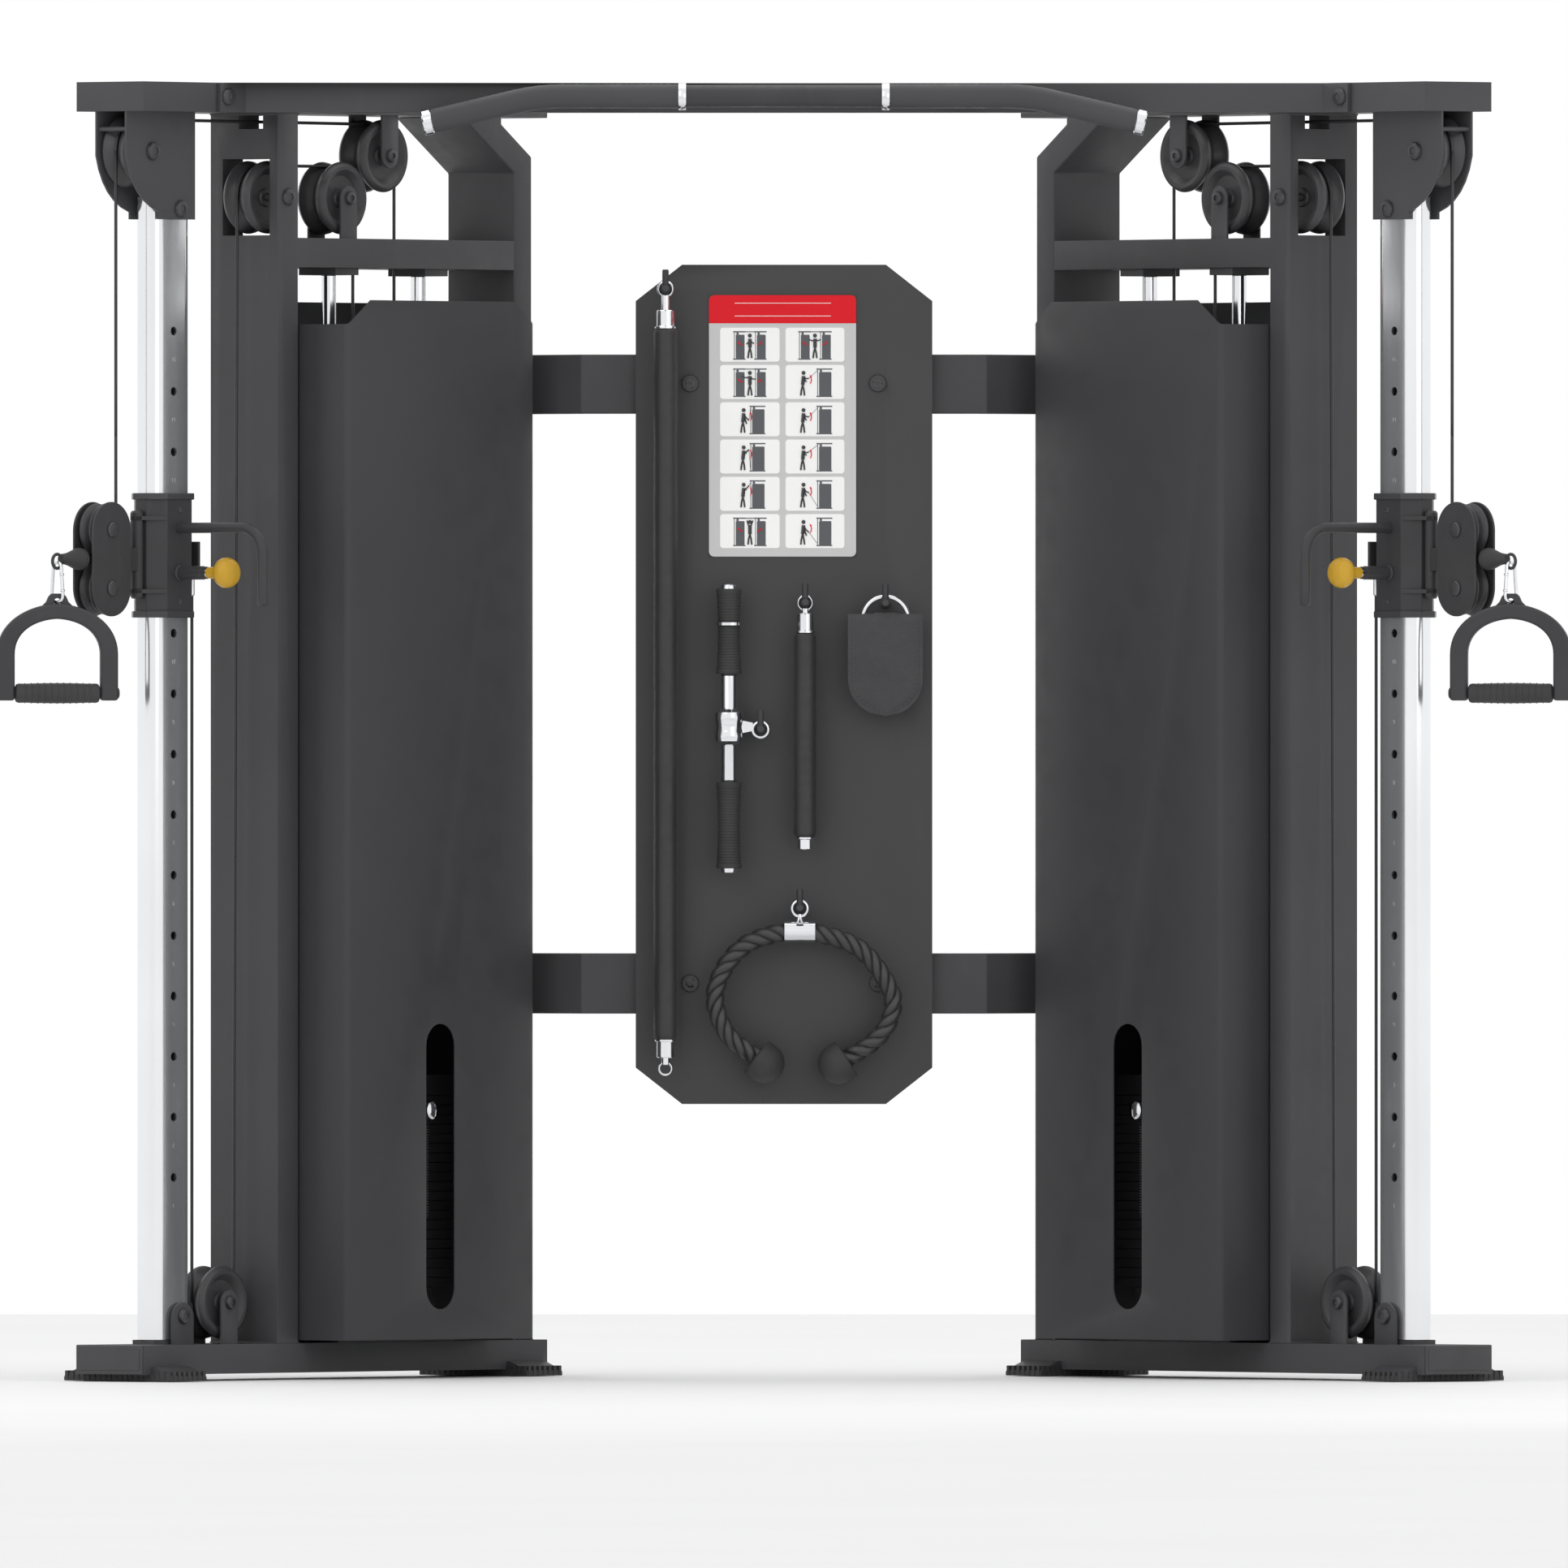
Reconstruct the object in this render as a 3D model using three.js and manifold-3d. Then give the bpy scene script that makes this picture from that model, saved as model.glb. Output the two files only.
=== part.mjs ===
// Cable crossover machine. Two weight-stack towers stand mirrored about the X = 0 plane and are tied by a top
// crossbeam, a pull-up bar and two rear link beams that carry the accessory board.
// Units are millimetres and +Z is up. The front faces -Y. The origin is on the floor, at the middle of the
// footprint.
//
// Each tower is built in its own frame: x runs across the rails towards the machine's middle, y runs along the
// rails from the front outer corner to the back, and z is up.
import * as THREE from 'three';
import { mergeVertices } from 'three/addons/utils/BufferGeometryUtils.js';
import Module from 'manifold-3d';

const wasm = await Module();
wasm.setup();

// ---------------------------------------------------------------- driving dimensions
const GAP = 0.3; // running or assembly gap between two pieces
const HEIGHT = 2200;
const TOWER_X = 1141; // from the middle to each tower's front end
const TOWER_TURN = THREE.MathUtils.degToRad(40); // turn of the rails away from the Y axis
const DEPTH_SHIFT = -371.97; // brings the middle of the footprint to the origin

const TUBE = 50; // height of the rails and beams
const RAIL_HALF = 75;
const RAIL_LENGTH = 1055;
const RAIL_LIFT = 11; // rail underside above the floor
const BASE_TOP = RAIL_LIFT + TUBE;
const RAIL_TOP_Z = HEIGHT - TUBE; // underside of the top rail

const COLUMN_Y = 136;
const COLUMN_LONG = 104;
const COLUMN_WIDE = 50;
const COLUMN_WALL = 4;
const COLUMN_TOP = 2006;
const COLUMN_HOLES = 15;
const COLUMN_HOLE_R = 7.5;
const COLUMN_HOLE_TOP = 1779;
const COLUMN_HOLE_PITCH = 102.5;

const FRONT_POST = { y0: 348, y1: 401 };
const REAR_POST = { y0: 969, y1: 1015 };
const CROSS_TUBE_Z = 1889;

const WELD = 1; // overlap of welded pieces inside one solid
const SMALL_SIDES = 8; // sides of bolts, holes and other small rounds
const CABLE_R = 2.75;
const PULLEY = { rim: 62, groove: 50, cable: 54, half: 30, bore: 7 };
const SMALL_PULLEY = { rim: 45, groove: 32, cable: 36, half: 15, bore: 6 };
const AXLE_CLEARANCE = 0.5;

const STACK_Y = 652;
const STACK_X = 29;
const GUIDE_HALF = 117;
const GUIDE_R = 12.5;
const PLATE = { half_y: 170, half_x: 60, pitch: 16.3, line: 1 };
const PLATES_BOTTOM = 154.5;
const LOWER_PLATES = 18;
const UPPER_PLATES = 2;
const HEAD_TOP = 515;

// axles of the large pulleys, in the tower's frame
const AXLES = {
  top_pulley: { x: 0, y: 69, z: 2083 },
  window_pulley: { x: 8, y: 374.5, z: 2008 },
  idler_1: { x: STACK_X, y: STACK_Y, z: 2081 },
  idler_2: { x: STACK_X, y: 544, z: 2008 },
  base_pulley: { x: 0, y: 266, z: 131 },
  stack_pulley: { x: STACK_X, y: STACK_Y, z: 595 },
};

const HINGE_Y = 69; // vertical swivel axis of the pulley block
const BLOCK_Y = -21;
const BLOCK_Z = 1391.5;
const BLOCK_PULLEY_SPACING = 99;
const SLEEVE = { y0: 80, y1: 194, half: 37, chamfer: 25, z0: 1293, z1: 1504, collar: 11 };
const POP_PIN_Z = COLUMN_HOLE_TOP - 4 * COLUMN_HOLE_PITCH - 0.3;
const CABLE_ANCHOR = { y: 212, z: 1385 };
const EYE_Y = -136.5; // eye at the end of the ball stop

// ---------------------------------------------------------------- materials
const paint = (color, roughness, metalness) => () => (
  new THREE.MeshStandardMaterial({ color, roughness, metalness })
);
const powderCoat = paint(0x4a4a4c, 0.55, 0.3);
const satinBlack = paint(0x303032, 0.45, 0.2);
const sheetCover = paint(0x3c3c3f, 0.6, 0.2);
const chrome = paint(0xd4d6d8, 0.12, 1);
const blackNylon = paint(0x18181a, 0.5, 0);
const rubber = paint(0x161616, 0.85, 0);
const castIron = paint(0x2a2a2c, 0.65, 0.4);
const yellowPlastic = paint(0xcaa031, 0.4, 0);
const steelCord = paint(0x1c1c1e, 0.4, 0.1);
const webbing = paint(0x1a1a1c, 0.9, 0);
const ropeFibre = paint(0x1d1d20, 0.95, 0);

// ---------------------------------------------------------------- solids
function toSolid(geometry) {
  const bare = geometry.clone();
  bare.deleteAttribute('normal');
  bare.deleteAttribute('uv');
  const merged = mergeVertices(bare, 1e-4);
  return new wasm.Manifold(new wasm.Mesh({
    numProp: 3,
    vertProperties: new Float32Array(merged.attributes.position.array),
    triVerts: new Uint32Array(merged.index.array),
  }));
}

function toGeometry(solid) {
  const mesh = solid.getMesh();
  const geometry = new THREE.BufferGeometry();
  geometry.setAttribute('position', new THREE.BufferAttribute(new Float32Array(mesh.vertProperties), 3));
  geometry.setIndex(new THREE.BufferAttribute(new Uint32Array(mesh.triVerts), 1));
  return geometry;
}

function join(...geometries) {
  return toGeometry(geometries.map(toSolid).reduce((whole, solid) => whole.add(solid)));
}

function cut(body, ...tools) {
  return toGeometry(tools.map(toSolid).reduce((whole, solid) => whole.subtract(solid), toSolid(body)));
}

function box(x0, x1, y0, y1, z0, z1) {
  const geometry = new THREE.BoxGeometry(x1 - x0, y1 - y0, z1 - z0);
  return geometry.translate((x0 + x1) / 2, (y0 + y1) / 2, (z0 + z1) / 2);
}

// Extrudes an outline along one axis. The outline's pairs are (y, z) for x, (x, z) for y and (x, y) for z.
const AXIS_FRAMES = {
  x: new THREE.Matrix4().set(0, 0, 1, 0, 1, 0, 0, 0, 0, 1, 0, 0, 0, 0, 0, 1),
  y: new THREE.Matrix4().set(1, 0, 0, 0, 0, 0, -1, 0, 0, 1, 0, 0, 0, 0, 0, 1),
  z: new THREE.Matrix4(),
};

function prism(axis, outline, from, to, curveSegments = 6) {
  const isShape = outline instanceof THREE.Shape;
  const shape = isShape ? outline : new THREE.Shape(outline.map(([a, b]) => new THREE.Vector2(a, b)));
  const geometry = new THREE.ExtrudeGeometry(shape, { depth: to - from, bevelEnabled: false, curveSegments });
  geometry.applyMatrix4(AXIS_FRAMES[axis]);
  const shift = axis === 'y' ? to : from;
  return geometry.translate(axis === 'x' ? shift : 0, axis === 'y' ? shift : 0, axis === 'z' ? shift : 0);
}

// A round bar along one axis, centred on (a, b) in the plane across it.
function rod(axis, radius, a, b, from, to, sides = 12) {
  const outline = Array.from({ length: sides }, (_, i) => {
    const angle = (2 * Math.PI * (i + 0.5)) / sides;
    return [a + radius * Math.cos(angle), b + radius * Math.sin(angle)];
  });
  return prism(axis, outline, from, to);
}

// A rectangle with one end or both ends round, from (a, b0) to (a, b1) along the second direction.
function strap(a, half, b0, b1, roundStart, roundEnd) {
  const shape = new THREE.Shape();
  if (roundStart) {
    shape.absarc(a, b0 + half, half, Math.PI, 2 * Math.PI, false);
  } else {
    shape.moveTo(a - half, b0);
    shape.lineTo(a + half, b0);
  }
  if (roundEnd) {
    shape.absarc(a, b1 - half, half, 0, Math.PI, false);
  } else {
    shape.lineTo(a + half, b1);
    shape.lineTo(a - half, b1);
  }
  return shape;
}

// A body of revolution about x (the pulleys' axle direction), from pairs (radius, x).
function turnedX(profile, centre, segments) {
  const geometry = new THREE.LatheGeometry(profile.map(([r, x]) => new THREE.Vector2(r, x)), segments);
  geometry.rotateZ(-Math.PI / 2);
  return geometry.translate(centre.x, centre.y, centre.z);
}

// A path through listed points, with one extrusion step for each of its segments.
class Route extends THREE.Curve {
  constructor(points) {
    super();
    this.points = points;
  }

  getPoint(t) {
    const place = THREE.MathUtils.clamp(t, 0, 1) * (this.points.length - 1);
    const index = Math.min(Math.floor(place), this.points.length - 2);
    return this.points[index].clone().lerp(this.points[index + 1], place - index);
  }

  getPointAt(u) {
    return this.getPoint(u);
  }

  getTangentAt(u) {
    return this.getTangent(u);
  }
}

function tube(points, radius, sides = 8) {
  const outline = Array.from({ length: sides }, (_, i) => {
    const angle = (2 * Math.PI * i) / sides;
    return new THREE.Vector2(radius * Math.cos(angle), radius * Math.sin(angle));
  });
  return new THREE.ExtrudeGeometry(new THREE.Shape(outline), {
    steps: points.length - 1,
    bevelEnabled: false,
    extrudePath: new Route(points),
  });
}

const point = (x, y, z) => new THREE.Vector3(x, y, z);

// Points of an arc in an upright plane: it turns about (y, z) at a fixed x, from one angle to another.
function arcYZ(x, y, z, radius, from, to, steps) {
  return Array.from({ length: steps + 1 }, (_, i) => {
    const angle = THREE.MathUtils.degToRad(from + ((to - from) * i) / steps);
    return point(x, y + radius * Math.cos(angle), z + radius * Math.sin(angle));
  });
}

function arcXZ(y, x, z, radius, from, to, steps) {
  return arcYZ(0, x, z, radius, from, to, steps).map((p) => point(p.y, y, p.z));
}

function named(name, geometry, material) {
  const mesh = new THREE.Mesh(geometry, material());
  mesh.name = name;
  return mesh;
}

// ---------------------------------------------------------------- pulleys and their brackets
function pulley(centre, size, segments) {
  const { rim, groove, half, bore } = size;
  const face = half * 0.72;
  const bottom = half * 0.16;
  const profile = [
    [bore, -face], [rim * 0.72, -half], [rim, -half * 0.75], [groove, -bottom],
    [groove, bottom], [rim, half * 0.75], [rim * 0.72, half], [bore, face], [bore, -face],
  ];
  return turnedX(profile, centre, segments);
}

function axle(centre, radius, halfLength) {
  return rod('x', radius, centre.y, centre.z, centre.x - halfLength, centre.x + halfLength, SMALL_SIDES);
}

// A bolt through two cheeks: a shank with a round head at each end.
function bolt(centre, radius, halfLength, headRadius, headHeight) {
  const ends = [-1, 1].map((side) => {
    const inner = centre.x + side * halfLength;
    const outer = centre.x + side * (halfLength + headHeight);
    const ends = [Math.min(inner, outer), Math.max(inner, outer)];
    return rod('x', headRadius, centre.y, centre.z, ...ends, SMALL_SIDES);
  });
  return join(axle(centre, radius, halfLength + headHeight / 2), ...ends);
}

const CHEEK = { inner: 34, outer: 38, half: 21, bolt: 11, head: 5 };
const AXLE_R = PULLEY.bore - AXLE_CLEARANCE;

// Two round-ended cheeks with the axle bolt between them, from a mounting face at z to the axle.
function cheeks(centre, mountZ) {
  const low = Math.min(mountZ, centre.z - CHEEK.half);
  const high = Math.max(mountZ, centre.z + CHEEK.half);
  const hangs = mountZ > centre.z;
  const outline = strap(centre.y, CHEEK.half, low, high, hangs, !hangs);
  const sides = [-1, 1].map((side) => {
    const a = centre.x + side * CHEEK.inner;
    const b = centre.x + side * CHEEK.outer;
    return prism('x', outline, Math.min(a, b), Math.max(a, b), 5);
  });
  return join(...sides, bolt(centre, AXLE_R, CHEEK.outer, CHEEK.bolt, CHEEK.head));
}

// ---------------------------------------------------------------- tower frame

function foot(y0, y1) {
  const plateHalf = 120;
  const edgeZ = 9;
  const innerHalf = 82;
  const innerZ = 25;
  const outline = [
    [-plateHalf, 0], [plateHalf, 0], [plateHalf, edgeZ], [innerHalf, innerZ],
    [-innerHalf, innerZ], [-plateHalf, edgeZ],
  ];
  return prism('y', outline, y0, y1);
}

function baseRail() {
  const ear = { y: 149, half: 27, top: 132, inner: 30, outer: 35, boltZ: 109 };
  const ears = [-1, 1].map((side) => {
    const outline = strap(ear.y, ear.half, BASE_TOP - WELD, ear.top, false, true);
    const faces = [side * ear.inner, side * ear.outer].sort((a, b) => a - b);
    return prism('x', outline, ...faces, 5);
  });
  const seat = box(-24, 24, COLUMN_Y - 50, COLUMN_Y + 50, BASE_TOP - WELD, BASE_TOP + 8);
  return join(
    box(-RAIL_HALF, RAIL_HALF, 0, RAIL_LENGTH, RAIL_LIFT, BASE_TOP),
    foot(21, 110),
    foot(949, 1041),
    ...ears,
    bolt({ x: 0, y: ear.y, z: ear.boltZ }, 5, ear.outer, 13, 6),
    seat,
    cheeks(AXLES.base_pulley, BASE_TOP - WELD),
  );
}

const HOUSING = { inner: 31, outer: 35, front: 2, back: 180, low: 1968, bolt: { x: 0, y: 141, z: 1986 } };

function columnHousing() {
  const shape = new THREE.Shape();
  shape.moveTo(HOUSING.front, RAIL_TOP_Z + WELD);
  shape.lineTo(HOUSING.front, 2075);
  shape.quadraticCurveTo(20, 2000, 88, 1980);
  shape.lineTo(88, HOUSING.low);
  shape.lineTo(HOUSING.back, HOUSING.low);
  shape.lineTo(HOUSING.back, RAIL_TOP_Z + WELD);
  const sides = [
    prism('x', shape, -HOUSING.outer, -HOUSING.inner),
    prism('x', shape, HOUSING.inner, HOUSING.outer),
  ];
  const keeper = rod('x', 4, 10, 2120, -HOUSING.inner - WELD, HOUSING.inner + WELD, 8);
  return join(
    ...sides,
    keeper,
    bolt(AXLES.top_pulley, AXLE_R, HOUSING.outer, 15, 6),
    bolt(HOUSING.bolt, 5, HOUSING.outer, 14, 6),
  );
}

function topRail() {
  return join(
    box(-RAIL_HALF, RAIL_HALF, 0, RAIL_LENGTH, RAIL_TOP_Z, HEIGHT),
    columnHousing(),
    cheeks(AXLES.idler_1, RAIL_TOP_Z + WELD),
  );
}

// The front upright with its pulley window and cable notch, and the cross tube that the guide rods end at.
function frontUpright() {
  const { y0, y1 } = FRONT_POST;
  const crossTop = CROSS_TUBE_Z + TUBE;
  const window = { x0: -48, x1: 57, z0: 1943, z1: 2073 };
  const through = 5;
  const post = cut(
    box(-RAIL_HALF, RAIL_HALF, y0, y1, BASE_TOP + GAP, RAIL_TOP_Z - GAP),
    box(window.x0, window.x1, y0 - through, y1 + through, window.z0, window.z1),
    box(-12, 42, y0 - through, y1 + through, 2124, RAIL_TOP_Z),
  );
  const rodPlates = [-1, 1].map((side) => {
    const y = STACK_Y + side * GUIDE_HALF;
    return box(STACK_X - 41.5, STACK_X + 41.5, y - 30, y + 30, CROSS_TUBE_Z - 12, CROSS_TUBE_Z + WELD);
  });
  const cableSlots = [STACK_Y - PULLEY.cable, STACK_Y + PULLEY.cable].map((y) => (
    rod('z', 10, STACK_X, y, CROSS_TUBE_Z - through, crossTop + through, SMALL_SIDES)
  ));
  const crossTube = cut(
    box(-RAIL_HALF, RAIL_HALF, y1 - WELD, REAR_POST.y0 - GAP, CROSS_TUBE_Z, crossTop),
    ...cableSlots,
  );
  const windowAxis = { x: 0, y: AXLES.window_pulley.y, z: AXLES.window_pulley.z };
  const windowBolt = bolt(windowAxis, AXLE_R, RAIL_HALF, 14, 6);
  return join(post, crossTube, ...rodPlates, windowBolt, cheeks(AXLES.idler_2, crossTop - WELD));
}

function rearUpright() {
  const { y0, y1 } = REAR_POST;
  const top = RAIL_TOP_Z - GAP;
  const outline = [
    [y0, BASE_TOP + GAP], [y1, BASE_TOP + GAP], [y1, 2083], [936, 2138], [936, top], [831, top], [y0, 2055],
  ];
  return prism('x', outline, -RAIL_HALF, RAIL_HALF);
}

// A flat oval in the ground plane, long along y.
function oval(y, long, wide) {
  const half = wide / 2;
  const shape = new THREE.Shape();
  shape.absarc(0, y + long / 2 - half, half, 0, Math.PI, false);
  shape.absarc(0, y - long / 2 + half, half, Math.PI, 2 * Math.PI, false);
  return shape;
}

function column() {
  const bottom = BASE_TOP + 8 + GAP;
  const extra = 5;
  const inner = oval(COLUMN_Y, COLUMN_LONG - 2 * COLUMN_WALL, COLUMN_WIDE - 2 * COLUMN_WALL);
  const holes = Array.from({ length: COLUMN_HOLES }, (_, i) => (
    rod('x', COLUMN_HOLE_R, COLUMN_Y, COLUMN_HOLE_TOP - i * COLUMN_HOLE_PITCH, 10, COLUMN_WIDE, SMALL_SIDES)
  ));
  const boltHole = (y, z) => rod('x', 6, y, z, -COLUMN_WIDE, COLUMN_WIDE, SMALL_SIDES);
  return cut(
    prism('z', oval(COLUMN_Y, COLUMN_LONG, COLUMN_WIDE), bottom, COLUMN_TOP),
    prism('z', inner, bottom - extra, COLUMN_TOP + extra),
    ...holes,
    boltHole(HOUSING.bolt.y, HOUSING.bolt.z),
    boltHole(149, 109),
  );
}

// ---------------------------------------------------------------- stack covers
const COVER = { front: 408, back: 900, sheet: 3, bottom: 66, top: 1833, shoulder: 1792, corner: 10 };

// A channel of sheet: a wide face at x, with a return at its front and one at its back, each ending at its own x.
function coverShell(faceX, frontReturn, backReturn) {
  const outward = Math.sign(faceX);
  const { front, back, sheet, corner, top, shoulder } = COVER;
  const section = (inset) => {
    const x = faceX - outward * inset;
    const radius = corner - inset;
    const past = inset === 0 ? 0 : outward * sheet;
    const arc = (y, from, to) => [0, 1, 2, 3].map((i) => {
      const angle = THREE.MathUtils.degToRad(from + ((to - from) * i) / 3);
      return [x - outward * radius + outward * radius * Math.cos(angle), y + radius * Math.sin(angle)];
    });
    return [
      [frontReturn - past, front + inset],
      ...arc(front + inset + radius, -90, 0),
      ...arc(back - inset - radius, 0, 90),
      [backReturn - past, back - inset],
    ];
  };
  const outside = prism('z', section(0), COVER.bottom, top);
  const inside = prism('z', section(sheet), COVER.bottom - sheet, top + sheet);
  const all = [faceX, frontReturn, backReturn];
  const xs = [Math.min(...all) - sheet, Math.max(...all) + sheet];
  const [frontTop, backTop] = [470, 852]; // where the sloped corners meet the level top edge
  const above = top + sheet;
  const frontSlope = [
    [front - sheet, shoulder], [412, shoulder], [frontTop, top], [frontTop, above], [front - sheet, above],
  ];
  const backSlope = [
    [backTop, top], [back, shoulder], [back + sheet, shoulder], [back + sheet, above], [backTop, above],
  ];
  return cut(outside, inside, prism('x', frontSlope, ...xs), prism('x', backSlope, ...xs));
}

function innerCover() {
  const slot = strap(651.5, 37.5, 117, 603, true, true);
  return cut(coverShell(180, 40, 40), prism('x', slot, 170, 190, 6));
}

const outerCover = () => coverShell(-123, -40, 34);

// ---------------------------------------------------------------- weight stack
const guideYs = [STACK_Y - GUIDE_HALF, STACK_Y + GUIDE_HALF];

function guideRods() {
  const plateTop = BASE_TOP + 12;
  const buffers = guideYs.map((y) => rod('z', 30, STACK_X, y, plateTop - WELD, PLATES_BOTTOM - GAP));
  const rods = guideYs.map((y) => rod('z', GUIDE_R, STACK_X, y, plateTop - WELD, CROSS_TUBE_Z - 12 - GAP));
  return join(box(STACK_X - 49, STACK_X + 49, 505, 799, BASE_TOP + GAP, plateTop), ...buffers, ...rods);
}

const STEM_R = 12;

// A pile of slabs, each of one or more plates, whose joint lines show as shallow grooves all round.
function platePile(bottom, slabs, platesPerSlab, closedTop) {
  const { half_x, half_y, line } = PLATE;
  const pitch = PLATE.pitch * platesPerSlab;
  const plates = Array.from({ length: slabs }, (_, i) => {
    const z = bottom + i * pitch;
    return box(STACK_X - half_x, STACK_X + half_x, STACK_Y - half_y, STACK_Y + half_y, z, z + pitch - line);
  });
  const core = box(
    STACK_X - half_x + 2, STACK_X + half_x - 2, STACK_Y - half_y + 2, STACK_Y + half_y - 2,
    bottom + WELD, closedTop,
  );
  return join(core, ...plates);
}

function rodHoles(from, to) {
  return guideYs.map((y) => rod('z', GUIDE_R + 2, STACK_X, y, from, to, 10));
}

const UPPER_BOTTOM = PLATES_BOTTOM + LOWER_PLATES * PLATE.pitch;
const HEAD_BOTTOM = UPPER_BOTTOM + UPPER_PLATES * PLATE.pitch;
const PIN_Z = UPPER_BOTTOM + (PLATE.pitch - PLATE.line) / 2;

function lowerPlates() {
  const top = UPPER_BOTTOM - PLATE.line;
  const extra = 5;
  return cut(
    platePile(PLATES_BOTTOM, LOWER_PLATES / 3, 3, top - WELD),
    ...rodHoles(PLATES_BOTTOM - extra, top + extra),
    rod('z', STEM_R + 2, STACK_X, STACK_Y, PLATES_BOTTOM - extra, top + extra, SMALL_SIDES),
  );
}

// The head plate, the two plates above the selector pin, the stem and the cheeks of the moving pulley.
function topPlates() {
  const { half_x, half_y } = PLATE;
  const extra = 5;
  const body = join(
    platePile(UPPER_BOTTOM, UPPER_PLATES, 1, HEAD_BOTTOM + WELD),
    box(STACK_X - half_x, STACK_X + half_x, STACK_Y - half_y, STACK_Y + half_y, HEAD_BOTTOM, HEAD_TOP),
    rod('z', STEM_R, STACK_X, STACK_Y, PLATES_BOTTOM + PLATE.pitch, UPPER_BOTTOM + WELD, SMALL_SIDES),
    cheeks(AXLES.stack_pulley, HEAD_TOP - WELD),
  );
  return cut(
    body,
    ...rodHoles(UPPER_BOTTOM - extra, HEAD_TOP + extra),
    rod('x', 5.6, STACK_Y, PIN_Z, STACK_X - 45, STACK_X + half_x + extra, SMALL_SIDES),
  );
}

function selectorPin() {
  const knob = { x0: 131, x1: 165, r: 16.5 };
  return join(
    rod('x', 5, STACK_Y, PIN_Z, STACK_X - 40, knob.x0 + WELD, SMALL_SIDES),
    rod('x', knob.r, STACK_Y, PIN_Z, knob.x0, knob.x1),
  );
}

// ---------------------------------------------------------------- carriage on the column
const ARM = { lower: 1341, upper: 1458, thick: 7, boss: 11, bossHeight: 9 };
const HINGE_PIN_R = 5;
const BARREL = { r: 11.5, bore: 5.5, end: 100 };

function octagon(grow) {
  const { y0, y1, half, chamfer } = SLEEVE;
  const x = half + grow;
  const front = y0 - grow;
  const back = y1 + grow;
  return [
    [-x, front + chamfer], [-x + chamfer, front], [x - chamfer, front], [x, front + chamfer],
    [x, back - chamfer], [x - chamfer, back], [-x + chamfer, back], [-x, back - chamfer],
  ];
}

function hingeArm(z0, z1) {
  const spread = 38;
  const outline = new THREE.Shape();
  outline.moveTo(-spread, 106);
  outline.lineTo(-ARM.boss, HINGE_Y);
  outline.absarc(0, HINGE_Y, ARM.boss, Math.PI, 2 * Math.PI, false);
  outline.lineTo(spread, 106);
  outline.lineTo(12, 88);
  outline.lineTo(-12, 88);
  return prism('z', outline, z0, z1, 3);
}

function adjustRod() {
  const radius = 9;
  const bend = 45;
  const reach = 224;
  const topZ = 1445;
  const lowZ = 1312;
  const corner = arcXZ(COLUMN_Y, reach - bend, topZ - bend, bend, 90, 0, 4);
  const path = [point(SLEEVE.half - WELD, COLUMN_Y, topZ), ...corner, point(reach, COLUMN_Y, lowZ)];
  return tube(path, radius, SMALL_SIDES);
}

function carriage() {
  const { z0, z1, collar, half, y1 } = SLEEVE;
  const armLow = ARM.lower - ARM.thick;
  const armHigh = ARM.upper + ARM.thick;
  const body = join(
    prism('z', octagon(0), z0, z1),
    prism('z', octagon(3), z0, z0 + collar),
    prism('z', octagon(3), z1 - collar, z1),
    hingeArm(armLow, ARM.lower),
    hingeArm(ARM.upper, armHigh),
    rod('z', ARM.boss, 0, HINGE_Y, armLow - ARM.bossHeight, armLow + WELD, SMALL_SIDES),
    rod('z', ARM.boss, 0, HINGE_Y, armHigh - WELD, armHigh + ARM.bossHeight, SMALL_SIDES),
    rod('z', HINGE_PIN_R, 0, HINGE_Y, armLow - WELD, armHigh + WELD, SMALL_SIDES),
    box(-30, 30, y1 - WELD, y1 + 5, 1378, 1422),
    box(-9, 9, y1, CABLE_ANCHOR.y + 10, CABLE_ANCHOR.z, CABLE_ANCHOR.z + 16),
    adjustRod(),
    rod('x', BARREL.r, COLUMN_Y, POP_PIN_Z, half - WELD, BARREL.end),
  );
  const running = 2;
  return cut(
    body,
    prism('z', oval(COLUMN_Y, COLUMN_LONG + running, COLUMN_WIDE + running), z0 - 5, z1 + 5),
    rod('x', BARREL.bore, COLUMN_Y, POP_PIN_Z, 10, BARREL.end + 5, SMALL_SIDES),
  );
}

function popPin() {
  const knobStart = BARREL.end + 1;
  const profile = [
    [0, COLUMN_WIDE / 2 + 2], [4.5, COLUMN_WIDE / 2 + 2], [4.5, knobStart], [10, knobStart], [10, 122],
    [18, 130], [25, 136], [26, 144], [23, 153], [14, 161], [0, 163],
  ];
  return turnedX(profile, { x: 0, y: COLUMN_Y, z: POP_PIN_Z }, 10);
}

// ---------------------------------------------------------------- swivelling pulley block
const BLOCK = { plateInner: 19, plateOuter: 23, half: 49, tall: 97 };
const SMALL_AXLE_R = SMALL_PULLEY.bore - AXLE_CLEARANCE;

const blockPulleyCentre = (side) => ({ x: 0, y: BLOCK_Y, z: BLOCK_Z + (side * BLOCK_PULLEY_SPACING) / 2 });

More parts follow.
